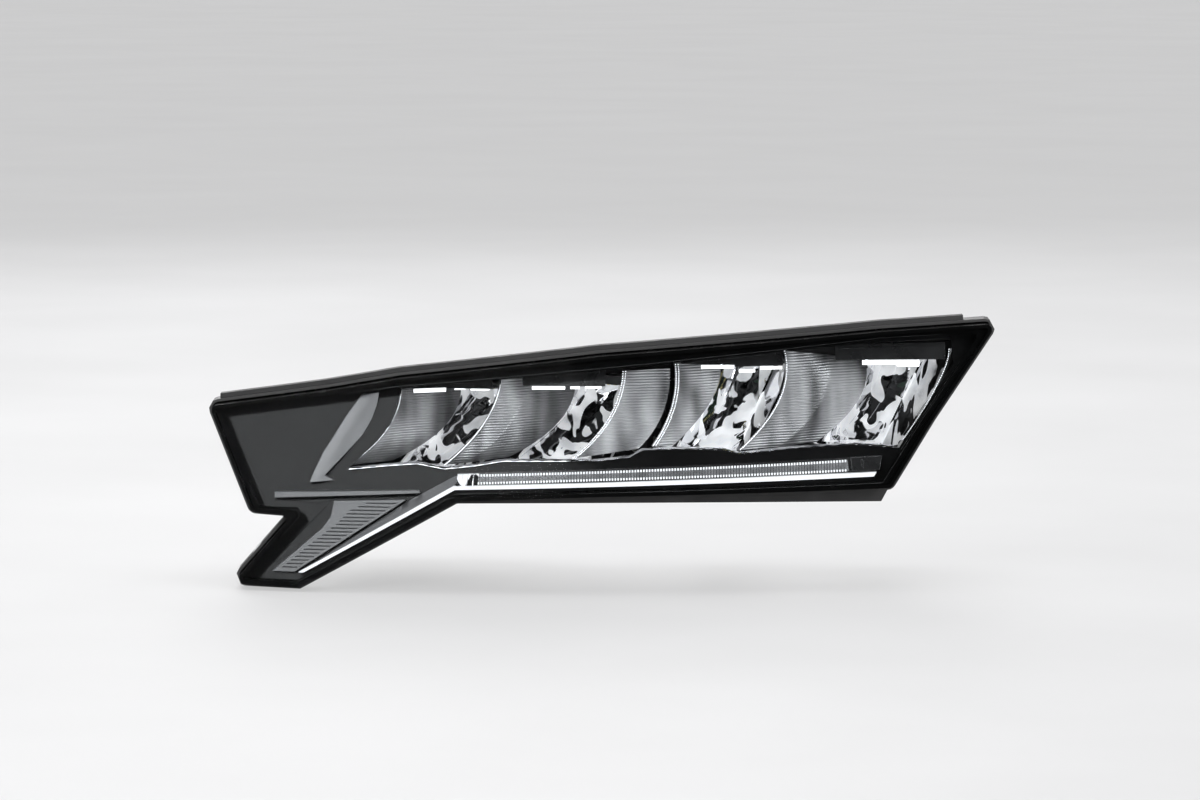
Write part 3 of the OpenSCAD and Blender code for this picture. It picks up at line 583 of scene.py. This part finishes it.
def trim_parts():
    m = Mesh()

    def hollow(u, w):
        # the crescent dips towards its outer side
        return 10.0 + 3.2 * np.clip((u - (118 - (137 - w) * 0.62)) / 14.0, 0, 1) ** 1.5

    m.plate(CRESCENT, hollow, SEAT, step=1.5)
    m.make("crescent_blade", "trim_grey", SHELL, replaces=["crescent_fin"], bevel=0.5, segments=3)
    m = Mesh()
    m.plate(BLADE, 9.0, SEAT)
    m.make("trim_blade_bar", "trim_dark", SHELL, replaces=["trim_blade"],
           bevel=0.6, segments=3)
    m = Mesh()
    slots = []
    for w in np.arange(12.2, 60, SLOT_PITCH):
        top = min(w + SLOT_PITCH / 3, 60.4)
        (a, b), (c, d) = clip_level(SLOTTED, w), clip_level(SLOTTED, top)
        slots.append([[c, top], [d, top], [b, w], [a, w]])
    m.plate(GRILLE, 11.0, 12.9, holes=slots)
    m.plate(GRILLE, 12.9, SEAT)
    m.make("foot_louvres", "trim_dark", SHELL, replaces=["foot_grille"], bevel=0.25)
    m = Mesh()
    # white strip; its finish's glow adds painted brightness
    m.plate(STRIP, 8.4, SEAT, step=4)
    m.make("white_strip", "strip_white", SHELL, replaces=["signature_strip"], bevel=1.0, segments=4)


def clip_level(outline, w):
    """Where a level line enters and leaves an outline."""
    xs = []
    for i in range(len(outline)):
        a, b = outline[i - 1], outline[i]
        if (a[1] - w) * (b[1] - w) < 0:
            xs.append(a[0] + (b[0] - a[0]) * (w - a[1]) / (b[1] - a[1]))
    return min(xs), max(xs)


def guide_edges(u):
    """Upper and lower edge of the light guide at u."""
    top = np.interp(u, [189, 202, 291, 439, 474], [80.5, 81.3, 84, 89.2, 90.6])
    low = np.interp(u, [187, 202, 291, 439, 475], [74, 74.6, 77.6, 81.6, 82.8])
    return top, low


def upright(u, half, top, low):
    """Outline of a small upright bar at u."""
    return [[u - half, top], [u + half, top], [u + half, low], [u - half, low]]


def guide_parts():
    m = Mesh()
    m.plate(GUIDE, 8.6, 11.9, step=4)
    m.make("guide_bar", "guide_clear", SHELL, replaces=["signature_guide"], bevel=0.8, segments=3)
    m = Mesh()
    # fine vertical prisms on the bar's face, with a painted highlight dot at each end
    for u in PRISMS:
        top, low = guide_edges(u)
        m.plate(upright(u, 0.6, top - 1.5, low + 1.6), 7.7, 8.7)
    m.make("guide_teeth", "tooth", SHELL, bevel=0.4)
    m = Mesh()
    # white, slightly self-lit dots at both ends of each prism: painted highlights
    for u in PRISMS:
        top, low = guide_edges(u)
        for w in (top - 0.5, low + 0.6):
            m.plate(upright(u, 0.55, w + 0.8, w - 0.8), 7.3, 8.7)
    m.make("guide_highlight_dots", "strip_white", SHELL, bevel=0.3)
    m = Mesh()
    m.plate(GUIDE_SEAT, 12.2, SEAT, step=4)
    m.make("guide_tray", "hood_grey", SHELL, replaces=["guide_holder"], bevel=0.4)
    m = Mesh()
    # bright start of the guide, with facets in chrome with painted reflection patches, and the dark block at
    # its outboard end
    for k, u in enumerate((188, 192, 196, 200)):
        top, low = guide_edges(u)
        m.plate([[u - 2, top + 0.6], [u + 1.8, top + 0.8], [u + 0.6, low - 0.6], [u - 3.2, low - 0.8]],
                lambda a, b, u=u, k=k: 6.5 + 0.35 * (a - u) * (-1) ** k, 12.2, step=1.3)
    m.make("guide_start", "chrome_bowl", SHELL, bevel=0.2)
    m = Mesh()
    m.plate([[476, 92.5], [500, 93.3], [498, 83], [477, 82.4]], 8.5, SEAT)
    m.plate(upright(485, 1, 91, 84.4), 7.6, 8.6)
    m.make("guide_end_block", "hood_grey", SHELL, bevel=0.6)
    m = Mesh()
    for u in range(446, 490, 11):
        m.plate(upright(u + 1.5, 1.5, 88.5, 85.2), 17.6, 18.8)
    m.make("guide_leds", "phosphor", SHELL, bevel=0.2)


def lip_parts():
    """Bright wavy ledge under the cells."""
    u = np.linspace(105, 509, 250)
    lower_edge = CELLS[20:5:-1]
    base = np.interp(u, *zip(*lower_edge))
    top, low = [], []
    for k in range(9):
        depth = 12.2 + 7.5 * (k / 8)
        lift = 0.2 + 1.1 * math.sin(math.pi * k / 8) ** 0.6
        top.append(on_skin(np.stack([u, base + lift + 0.15 * np.sin(u * 0.6 + k)], -1), depth))
        low.append(on_skin(np.stack([u, base - 0.1], -1), depth))
    m = Mesh()
    m.slab(np.array(top), np.array(low))
    m.make("wavy_lip", "chrome_bright", SHELL, replaces=["cell_lip"])


# ---------------------------------------------------------------- eyelash fins
def fin_surface(f, t, s):
    """Points of a fin's outboard face: t runs down it, s from its front to its rear edge."""
    front, rear, flare, depth = f
    a, b = curve(front, t), curve(rear, t)
    turn = SWEEP + math.radians(flare)
    run = depth if depth > 0 else (b[..., 0] - a[..., 0]) / math.tan(turn)
    return np.stack([
        a[..., 0] + (b[..., 0] - a[..., 0]) * s,
        skin_v(a[..., 0], a[..., 1], SET_BACK + 0.6) + run * s,
        a[..., 1] + (b[..., 1] - a[..., 1]) * s - run * s * math.tan(DROP)], -1)


def fin_parts():
    # per fin: share of the width where the crease lies, its height, the belly of each panel, and how
    # far the blade runs, since it goes on a little below the CAD fin, down to the ledge
    shapes = [(0.0, 0.0, -1.6, 1.075), (0.33, 1.8, -1.2, 1.055), (0.72, 0.7, -0.8, 1.055),
              (0.0, 0.0, -1.4, 1.05), (0.52, 2.2, -1.8, 1.045), (0.0, 0.0, 0.0, 1.0)]
    rows, cols = 460, 34
    rib_pitch, bead_pitch = 2.0, 1.8
    for k, (f, (crease, height, belly, foot)) in enumerate(zip(FINS, shapes)):
        last = k == len(FINS) - 1
        t = np.linspace(0, foot, rows)[:, None] * np.ones((1, cols))
        s = np.ones((rows, 1)) * np.linspace(0, 1, cols)[None]
        p = fin_surface(f, t, s)
        du, dt = np.gradient(p, axis=1), np.gradient(p, axis=0)
        normal = np.cross(dt, du)
        normal /= np.linalg.norm(normal, axis=2)[..., None]
        if normal[rows // 2, cols // 2, 1] > 0:
            normal = -normal
        if crease:
            left, right = s / crease, (1 - s) / (1 - crease)
            lift = height * np.minimum(left, right)
            lift = lift + belly * np.where(s < crease, left * (1 - left) * 2, right * (1 - right) * 2)
        else:
            lift = belly * 4 * s * (1 - s)
        lift = lift * (1 - 0.5 * np.abs(2 * t - 1) ** 3)
        back = p + normal * (np.minimum(lift, 0) - 1.7)[..., None]
        name, ending, finish = "end_fin", "_blade", "chrome_bright"
        if not last:
            name, ending, finish = f"cell_fin_{k + 1}", "_ribbed", "chrome_ribbed"
            fade = np.clip(np.minimum(s, 1 - s) / 0.05, 0, 1)
            lift = lift + 0.4 * (np.abs(np.cos(p[..., 2] * math.pi / rib_pitch)) - 1) * fade
        m = Mesh()
        m.slab(lamp(p + normal * lift[..., None]), lamp(back))
        m.make(name + ending, finish, SHELL, replaces=[name], sharp=60)
        # bright bead along the front edge
        t1 = np.linspace(0, foot, 420)
        edge = fin_surface(f, t1, np.zeros(420))
        length = np.concatenate([[0], np.cumsum(np.linalg.norm(np.diff(edge, axis=0), axis=1))])
        beaded = k >= 2
        radius = 0.55 + (0.22 * np.abs(np.cos(length * math.pi / bead_pitch)) if beaded else 0)
        m = Mesh()
        m.tube(lamp(edge), radius * MM, 10)
        if k in (2, 3):
            side = edge + np.array([2.0, 0.6, 0])
            m.tube(lamp(side), 0.8 * radius * MM, 8)
        m.make(name + "_edge", "chrome_bright", SHELL, sharp=70)


# ---------------------------------------------------------------- reflectors
def clear_y(x, z, depth=24.5):
    """Foremost car y, at each x and z, that still lies depth behind the lens face."""
    c, k = math.cos(SWEEP), math.sin(SWEEP)
    x, z = np.broadcast_arrays(np.asarray(x, float), np.asarray(z, float))
    y = np.full(x.shape, 300.0)
    for _ in range(8):
        y = y + (skin_v(x * c + y * k, z) + depth / math.cos(RAKE) - (y * c - x * k)) / c
    return y


BOWL_CURVE, MOUTH_SLANT, CHEEK = 84.0, 0.75, 2.0


def bowl_parts():
    rng = np.random.default_rng(7)
    # node, body, shares of the width where the upright facets meet, and how wavy they are
    looks = [
        ("main_reflector_inner", "main_beam_unit", [0, 0.3, 0.55, 0.8, 1], 0.9),
        ("main_reflector_outer", "main_beam_unit", [0, 0.26, 0.5, 0.74, 1], 1.0),
        ("low_reflector_inner", "low_beam_unit", [0, 0.3, 0.62, 1], 0.6),
        ("low_reflector_outer", "low_beam_unit", [0, 0.22, 0.5, 0.78, 1], 1.0),
    ]
    for (x0, x1, front, back, top, floor, lean), (name, body, cuts, wave) in zip(BOWLS, looks):
        mid, slope = (x0 + x1) / 2, lean / (top - floor)

        def bowl_y(x, z):
            return back - ((x - mid) ** 2 + (z - top) ** 2) / BOWL_CURVE

        def mouth_y(x, z):
            return np.maximum(front - MOUTH_SLANT * (top - z), clear_y(x, z))

        def side_sheet(x, z):
            """Points that run from the bowl's mouth to its back, at each x and z."""
            near = mouth_y(x, z)
            far = np.maximum(bowl_y(x, z) + 1.5, near + 1.0)
            y = near[:, None] + (far - near)[:, None] * np.linspace(0, 1, 12)
            return np.stack([x[:, None] + 0 * y, y, z[:, None] + 0 * y], -1)

        m = Mesh()
        z = np.linspace(top - 0.3, floor + 0.05, 150)[:, None]
        shift = slope * (top - z)
        for i, (s0, s1) in enumerate(zip(cuts, cuts[1:])):
            s = np.linspace(s0, s1, 26)[None]
            share = (s - s0) / (s1 - s0)
            x = x0 + CHEEK + (x1 - x0 - 2 * CHEEK) * s - shift
            ya, yb = (bowl_y(x0 + CHEEK + (x1 - x0 - 2 * CHEEK) * c - shift, z) for c in (s0, s1))
            y = ya + (yb - ya) * share + (0.9 if i % 2 else -0.3) * np.sin(math.pi * share) ** 0.8
            phase = rng.uniform(0, 6, 4)
            y = y + wave * 0.35 * np.sin(z * 0.2 + phase[0] + 2 * share)
            y = y + wave * 0.05 * np.sin(z * 0.8 + phase[1] - 3 * share)
            if i == len(cuts) - 2:
                y = y + 0.1 * np.cos(z * math.pi / 1.8) * np.cos(x * math.pi / 1.8)
            y = np.maximum(y, mouth_y(x, z) + 1.0)
            p = np.stack([x, y, z + 0 * x], -1)[::-1]
            m.slab(car(p), car(p + [0, 1.6, 0]))
        # cheeks on both sides and the floor
        z = np.linspace(top, floor, 40)
        left, right = (side_sheet(x - slope * (top - z), z) for x in (x0, x1))
        m.slab(car(left + [CHEEK, 0, 0]), car(left))
        m.slab(car(right), car(right - [CHEEK, 0, 0]))
        x = np.linspace(x0, x1, 30) - slope * (top - floor)
        sole = side_sheet(x, np.full(30, float(floor)))
        m.slab(car(sole), car(sole - [0, 0, 1.8]))
        # the chrome_bowl finish paints white reflection patches onto these facets
        m.make(name + "_facets", "chrome_bowl", body, replaces=[name], sharp=40)


def hood_parts():
    """Dark brows over the cells with white, self-lit strips under them as painted highlights, and the LEDs
    of each bowl.
    """
    brows = [
        [[150, 143.2], [150, 147.2], [210, 152], [212, 141.6], [177, 141.9], [176.5, 142.6], [152.6, 141.2]],
        [[234, 144], [233, 152], [295, 157.8], [295, 144], [265.6, 143.9], [265, 144.3], [240.6, 144.2]],
        [[351, 160], [350, 163.4], [427, 170.5], [427, 158.4], [391, 157.6], [391, 159.2], [366, 159.4]],
        [[466, 161.4], [466, 173], [549, 173], [549, 160.6], [530, 160.9], [486, 161.5]],
    ]
    m = Mesh()
    for b in brows:
        m.plate(b, 16.9, LED_FACE, step=8)
    m.make("cell_brows", "hood_grey", SHELL, bevel=0.5)
    m = Mesh()
    for b in brows:
        (u0, w0), (u1, w1) = b[1], b[2]
        m.plate([[u0 + 3, w0 - 2.4], [u1 - 3, w1 - 2.4], [u1 - 3, w1 - 3.2], [u0 + 3, w0 - 3.2]], 16.5, 17.2)
    m.make("brow_lines", "hood_grey", SHELL, bevel=0.2)
    # white, self-lit strips under the brows: painted highlights
    highlight_strips = [
        [[152.6, 138.2], [152.6, 140.9], [176.7, 142.1], [176.7, 139.4]],
        [[183, 140.7], [183, 142.2], [191, 142.4], [191, 140.9]],
        [[195, 140.5], [195, 142], [209, 142.2], [209, 140.7]],
        [[240.6, 141.4], [240.6, 143.8], [265.1, 143.8], [265.1, 141.6]],
        [[269, 142], [269, 143.8], [276, 143.8], [276, 142]],
        [[280, 142.2], [280, 143.8], [292, 143.9], [292, 142.4]],
        [[366, 156.3], [366, 158.9], [390.5, 158.7], [390.5, 156.5]],
        [[394.2, 153.6], [394.2, 155.7], [406.1, 155.6], [406.1, 153.6]],
        [[409.9, 155.5], [409.9, 157.7], [426.3, 157.5], [426.3, 155.6]],
        [[486.3, 157.8], [486.3, 161], [529.3, 160.5], [529.2, 155.8], [513, 155.9], [511, 157.7]],
    ]
    m = Mesh()
    for b in highlight_strips:
        m.plate(b, 17.0, LED_FACE, step=8)
    m.make("cell_painted_highlight_strips", "glow", SHELL, bevel=0.6, segments=3)
    for k, (x0, x1, _, back, top, _, _) in enumerate(BOWLS):
        body = "main_beam_unit" if k < 2 else "low_beam_unit"
        m = Mesh()
        mid = (x0 + x1) / 2
        for x in (mid - 6, mid, mid + 6):
            m.block([x - 1.2, back - 22.5, top - 1.1], [x + 1.2, back - 20.1, top - 0.2])
        m.make(f"{body}_leds_{k % 2 + 1}", "phosphor", body, bevel=0.2)


# ---------------------------------------------------------------- remaining CAD nodes keep their shape
def plain_nodes():
    for name, made in frame["nodes"].items():
        made.data.materials.clear()
        made.data.materials.append(MATERIALS[SLOT_OF[name]])


SHELL_FACE = np.array([[5, 124], [87, 138], [143, 147.5], [291, 165], [499, 181], [577, 183.5],
                       [533, 118], [500, 60], [183, 58.5], [39, 57]])
REAR_WALLS = [((-36, 20), (-36, 236)), ((-10, 262), (112, 292)), ((112, 292), (186, 329)),
              ((193, 371), (268, 371)), ((268, 371), (296, 420)), ((296, 420), (316, 452)),
              ((316, 452), (380, 466))]
# axes that run along the car, as (x, z)
MOTOR, CAP, HEIGHT_SCREW, SIDE_SCREW = (226, 122), (70, 98), (254, 122), (176, 92)


def wall(a, b):
    """Axes on a rear wall: s runs along it from a, o stands out of it, z is the height."""
    a, b = np.array(a, float), np.array(b, float)
    t = (b - a) / np.linalg.norm(b - a)

    def place(points):
        p = np.asarray(points, float)
        s, o, z = p[..., 0], p[..., 1], p[..., 2]
        return car(np.stack([a[0] + t[0] * s - t[1] * o, a[1] + t[1] * s + t[0] * o, z], -1))

    return place


def wall_heights(a, b, s):
    """Lowest and highest point of the shell at s along a rear wall."""
    a, b = np.array(a, float), np.array(b, float)
    x, y = a + (b - a) / np.linalg.norm(b - a) * s
    c, k = math.cos(SWEEP), math.sin(SWEEP)
    u, v = x * c + y * k, y * c - x * k
    hits = []
    for p, q in zip(SHELL_FACE, np.roll(SHELL_FACE, -1, axis=0)):
        if (p[0] - u) * (q[0] - u) < 0:
            hits.append(p[1] + (q[1] - p[1]) * (u - p[0]) / (q[0] - p[0]))
    fall = (v - 50) * math.tan(DROP)
    return min(hits) - fall, max(hits) - fall


def shell_ribs():
    m = Mesh()
    full = [(0, range(98, 131, 8)), (1, (6, 14, 22)), (3, (4, 12, 60, 68)), (4, range(8, 52, 9)),
            (5, range(5, 36, 9)), (6, (8, 16))]
    for k, places in full:
        for s in places:
            low, high = wall_heights(*REAR_WALLS[k], s)
            m.block([s - 0.6, -0.3, low + 4], [s + 0.6, 1.4, high - 4], wall(*REAR_WALLS[k]))
    short = [(1, range(36, 122, 9), 14), (2, range(6, 80, 9), 14), (3, range(22, 56, 8), 30)]
    for k, places, height in short:
        for s in places:
            low = wall_heights(*REAR_WALLS[k], s)[0]
            m.block([s - 0.6, -0.3, low + 3], [s + 0.6, 1.3, low + height], wall(*REAR_WALLS[k]))
    # level ledges over the short ribs
    for k, s0, s1, lift in ((1, 3, 122, 15), (2, 3, 80, 15), (3, 20, 56, 32)):
        low = min(wall_heights(*REAR_WALLS[k], s)[0] for s in (s0, s1)) + lift
        m.block([s0, -0.3, low], [s1, 1.6, low + 1.2], wall(*REAR_WALLS[k]))
    m.make("shell_ribs", "housing_plastic", SHELL, bevel=0.3)


def mould_marks():
    """Round ejector marks, one dotted dial with a plain hand, and a blank label."""
    m = Mesh()
    for k, s, z in ((0, 102, 112), (0, 118, 112), (1, 31, 66), (2, 66, 70), (3, 20, 84), (3, 62, 84),
                    (4, 14, 92)):
        place = wall(*REAR_WALLS[k])
        m.ring([s, 0, z], [s, 0.5, z], 2.6, 3.2, 28, place)
        m.drum([s, -0.2, z], [s, 0.25, z], 2.5, 28, place)
    place = wall(*REAR_WALLS[3])
    s, z = 38, 84
    m.ring([s, 0, z], [s, 0.7, z], 4.2, 5, 36, place)
    for x, h in round_places((s, z), 3.3, 12):
        m.drum([x, -0.2, h], [x, 0.5, h], 0.35, 10, place)
    m.block([s - 0.3, -0.2, z - 2], [s + 0.3, 0.5, z + 2.2], place)
    m.make("mould_marks", "housing_plastic", SHELL, bevel=0.1)
    m = Mesh()
    m.block([5, 1.2, 70], [23, 1.7, 90], wall(*REAR_WALLS[1]))
    m.make("blank_label", "label", SHELL, bevel=0.15)


def lens_clips():
    """Spring clips that hold the lens to the flange, along the lower edges."""
    m = Mesh()
    edge = inset(OUTLINE, -2.2)
    spacing, highest = 75, 100
    for i in (1, 2, 3, 6, 7, 8, 9, 11):
        p, q = edge[i], edge[(i + 1) % len(edge)]
        way = (q - p) / np.linalg.norm(q - p)
        out = np.array([-way[1], way[0]])
        count = max(1, int(np.linalg.norm(q - p) / spacing))
        for j in range(count):
            at = p + (q - p) * ((j + 0.5) / count)
            if at[1] > highest:
                continue
            for half, near, far, d0, d1 in ((4, -0.5, 0.9, 15, 33.2), (2.4, 1.3, 0.6, 19, 27)):
                m.plate([at - way * half + out * near, at + way * half + out * near,
                         at + way * half + out * far, at - way * half + out * far], d0, d1)
    m.make("lens_clips", "steel", SHELL, bevel=0.25)


def screw_heads():
    m = Mesh()
    back, inboard = np.array([0, 1, 0]), np.array([-1, 0, 0])
    motor = [(x, 407.6, z) for x, z in ((210.5, 103.5), (240.5, 103.5), (210.5, 138.5), (240.5, 138.5))]
    bracket = [(258.5, 403.6, z) for z in (113, 130.5)]
    unit = [(-44, y, z) for y in (114.5, 228) for z in (70, 106)]
    # places, way out, height, depth of the socket's floor, and the radii of socket and head
    for places, out, height, floor, r0, r1 in ((motor, back, 1.4, 0.7, 1.2, 2.6),
                                               (bracket, back, 1.2, 0.6, 1.1, 2.2),
                                               (unit, inboard, 1.2, 0.5, 1.5, 3.4)):
        for at in places:
            m.ring(at, at + out * height, r0, r1, 28)
            m.drum(at, at + out * floor, r0 + 0.1, 6)
    m.make("small_screws", "steel", SHELL, bevel=0.2)


def motor_ribs():
    m = Mesh()
    x, z = MOTOR
    m.ring([x, 372.2, z], [x, 378.4, z], 24.6, 25.6, 64)
    for at in round_places(MOTOR, 25.4, 6, 15):
        m.peg(at, 2.4, 372.4, 377.6)
    m.block([214, 407.8, 106], [237, 408.7, 136])
    for x in range(216, 237, 4):
        m.block([x - 0.6, 408.5, 108], [x + 0.6, 409.6, 134])
    for z in (104, 112, 120, 128, 136):
        m.block([206.2, 381, z - 0.6], [207.4, 405, z + 0.6])
        if 110 < z < 133:
            m.block([262.6, 384, z - 0.6], [263.6, 402, z + 0.6])
    m.block([219, 403.8, 96], [231, 405.2, 100.4])
    m.make("motor_ribs", "motor_plastic", SHELL, bevel=0.3)


def plug_parts():
    """Contacts in the three sockets, and the ribs and keys of the main one."""
    m = Mesh()
    motor = [(225 + 3.6 * i, 93) for i in (-1, 0, 1)]
    main = [(138 + 3.0 * (i - 3.5), 112 + 4.6 * j) for i in range(8) for j in (-1, 0, 1)]
    unit = [(-52 + 6 * j, 80 + 4 * i) for i in range(5) for j in (0, 1)]
    for places, y0, y1, a, b in ((motor, 394, 402, 0.6, 0.3), (main, 318, 329, 0.5, 0.4),
                                 (unit, 230, 236, 0.5, 0.4)):
        for x, z in places:
            m.block([x - a, y0, z - b], [x + a, y1, z + b])
    m.make("contact_blades", "brass", SHELL, bevel=0.1)
    m = Mesh()
    m.block([125, 306, 103], [151, 318, 121])
    for z in (104.6, 119.4):
        for x in (131, 143):
            m.block([x, 320, z - 0.9], [x + 2, 331.4, z + 0.9])
    for x in (121.5, 154.5):
        m.block([x - 0.9, 322, 108], [x + 0.9, 331, 116])
    m.block([132, 322, 123.6], [144, 327, 125.8])
    m.make("plug_details", "motor_plastic", SHELL, bevel=0.25)


def control_unit_frame():
    m = Mesh()
    for z in (62.6, 110.6):
        m.block([-61.4, 118.6, z], [-59.8, 221.4, z + 2.8])
    for y in (120, 220):
        for z in (76, 88, 100):
            m.drum([-61.2, y, z], [-59.5, y, z], 1.4, 24)
    for z in (72.2, 101.8):
        m.block([-58, 224, z], [-40, 233.6, z + 2])
    m.make("control_unit_frame", "cast_aluminium", SHELL, bevel=0.3)


def breather_grips():
    m = Mesh()
    for x, y, z in ((280, 405.5, 96), (4, 266, 110)):
        for at in round_places((x, z), 8.9, 10):
            m.peg(at, 0.9, y + 4, y + 13.2)
        m.ring([x, y + 12.6, z], [x, y + 13.6, z], 3, 5.5, 36)
    m.make("breather_grips", "motor_plastic", SHELL, bevel=0.3)


def cap_grips():
    m = Mesh()
    x, z = CAP
    m.ring([x, 301.6, z], [x, 303.6, z], 35.5, 38.4, 96)
    m.ring([x, 301.6, z], [x, 302.8, z], 30.0, 31.5, 96)
    # rows of studs, left out where the grip bar stands
    for i in range(24):
        t = i * math.pi / 12
        c, k = math.cos(t), math.sin(t)
        if abs(k) >= 0.2:
            for r in np.linspace(13, 29, 6):
                m.peg((x + r * c, z + r * k), 0.8, 301.8, 302.7)
    for at in range(44, 98, 4):
        m.block([at - 0.7, 303, 94.2], [at + 0.7, 310.4, 101.8])
    m.block([42, 301.8, 96.6], [98, 312, 99.4])
    # raised bar that shows how far the cap is turned
    m.block([68.6, 301.8, 121], [71.4, 302.9, 127])
    m.make("cap_grips", "cap_plastic", "service_cap", bevel=0.35)


def adjuster_ends():
    m = Mesh()
    x, z = HEIGHT_SCREW
    m.ring([x, 415.9, z], [x, 417.6, z], 1.6, 4.6, 36)
    m.drum([x, 416, z], [x, 416.6, z], 1.7, 6)
    m.ring([x, 408.9, z], [x, 410.2, z], 3, 7, 36)
    m.make("hex_collar", "adjuster_nylon", "vertical_adjuster", bevel=0.25)
    m = Mesh()
    x, z = SIDE_SCREW
    m.ring([x, 349.6, z], [x, 350.8, z], 3.7, 7.2, 48)
    for at in round_places(SIDE_SCREW, 8.9, 12, 15):
        m.peg(at, 0.5, 344.4, 349.7)
    m.make("knob_ring", "adjuster_nylon", "horizontal_adjuster", bevel=0.2)


plain_nodes()
shell_ribs()
mould_marks()
lens_clips()
screw_heads()
motor_ribs()
plug_parts()
control_unit_frame()
breather_grips()
cap_grips()
adjuster_ends()
lens_parts()
bezel_parts()
trim_parts()
guide_parts()
lip_parts()
fin_parts()
bowl_parts()
hood_parts()


# ---------------------------------------------------------------- stage
def stage():
    n = Nodes("floor")
    shader = n.add("BsdfPrincipled", Roughness=0.6)
    n.link(n.ramp(n.noise(3, 4), grey(0.15), grey(0.18)), shader.inputs["Base Color"])
    shader.inputs["Specular IOR Level"].default_value = 0.1
    shader.inputs["Emission Color"].default_value = (1, 1, 1, 1)
    shader.inputs["Emission Strength"].default_value = 0.5
    n.link(n.bump(n.noise(400, 2), 0.05), shader.inputs["Normal"])
    low = first_bounds[0].z - 0.0005
    data = bpy.data.meshes.new("floor")
    sides, radius = 64, 30
    ring = [(x, y, low) for x, y in round_places((0, 0), radius, sides)]
    data.from_pydata(ring, [], [list(range(sides))])
    floor = bpy.data.objects.new("floor", data)
    bpy.context.scene.collection.objects.link(floor)
    data.materials.append(n.finish(shader))


def aim(made, place, target):
    """Puts a light or the camera at one point, turned to another; both in lamp axes."""
    place, target = Vector(lamp(place)), Vector(lamp(target))
    bpy.context.scene.collection.objects.link(made)
    made.location = place
    made.rotation_euler = (target - place).to_track_quat("-Z", "Y").to_euler()


def lights():
    centre = np.array([291, 80, 110])
    # name, place in metres from the lamp's middle in lamp axes, size and power
    boxes = [
        ("left_front", (-1.25, -2.2, 1.72), (2.3, 1.5), 40),
        ("overhead", (0.2, 0.5, 2.4), (2.8, 1.6), 55),
        ("right_side", (2.4, -1.3, 0.7), (0.8, 1.7), 26),
        ("right_rear", (2.4, 1.0, 0.8), (0.8, 1.4), 16),
        ("low_front", (0.5, -2.6, 0.28), (1.8, 0.35), 14),
        ("rear_fill", (-0.6, 2.6, 1.6), (2.2, 1.6), 60),
    ]
    for name, way, size, power in boxes:
        light = bpy.data.lights.new(name, "AREA")
        light.shape = "RECTANGLE"
        light.size, light.size_y = size
        light.energy = power
        aim(bpy.data.objects.new(name, light), centre + np.array(way) * 1000, centre)


def studio_world():
    """Light and dark bands by height for reflections; the camera itself sees a plain pale backdrop."""
    world = bpy.data.worlds.new("studio")
    world.use_nodes = True
    bpy.context.scene.world = world
    tree = world.node_tree
    sky = tree.nodes["Background"]
    coord = tree.nodes.new("ShaderNodeTexCoord")
    split = tree.nodes.new("ShaderNodeSeparateXYZ")
    ramp = tree.nodes.new("ShaderNodeValToRGB")
    tree.links.new(coord.outputs["Generated"], split.inputs["Vector"])
    tree.links.new(split.outputs["Z"], ramp.inputs["Fac"])
    levels = [(0.0, 0.85), (0.1, 0.8), (0.14, 0.1), (0.2, 0.1), (0.24, 0.7), (0.36, 0.7), (0.4, 0.02),
              (0.66, 0.02), (0.69, 0.9), (0.78, 0.9), (0.8, 0.05), (0.86, 0.05), (0.88, 0.8)]
    bands = ramp.color_ramp.elements
    for band, (place, value) in zip((bands[0], bands[1]), (levels[0], levels[-1])):
        band.position, band.color = place, rgba(grey(value))
    for place, value in levels[1:-1]:
        bands.new(place).color = rgba(grey(value))
    tree.links.new(ramp.outputs["Color"], sky.inputs["Color"])
    sky.inputs["Strength"].default_value = 1.0
    plain = tree.nodes.new("ShaderNodeBackground")
    plain.inputs["Color"].default_value = (0.6, 0.6, 0.61, 1)
    path = tree.nodes.new("ShaderNodeLightPath")
    mixed = tree.nodes.new("ShaderNodeMixShader")
    out = tree.nodes["World Output"]
    tree.links.new(path.outputs["Is Camera Ray"], mixed.inputs["Fac"])
    tree.links.new(sky.outputs["Background"], mixed.inputs[1])
    tree.links.new(plain.outputs["Background"], mixed.inputs[2])
    tree.links.new(mixed.outputs["Shader"], out.inputs["Surface"])


def camera():
    data = bpy.data.cameras.new("camera")
    data.sensor_width = 36
    data.lens = 163.2
    made = bpy.data.objects.new("camera", data)
    target, away = np.array([291.0, 40.0, 137.0]), 4000
    aim(made, target - away * np.array([0, math.cos(DROP), -math.sin(DROP)]), target)
    bpy.context.scene.camera = made


stage()
lights()
studio_world()
camera()
bpy.context.scene.view_settings.view_transform = "Standard"
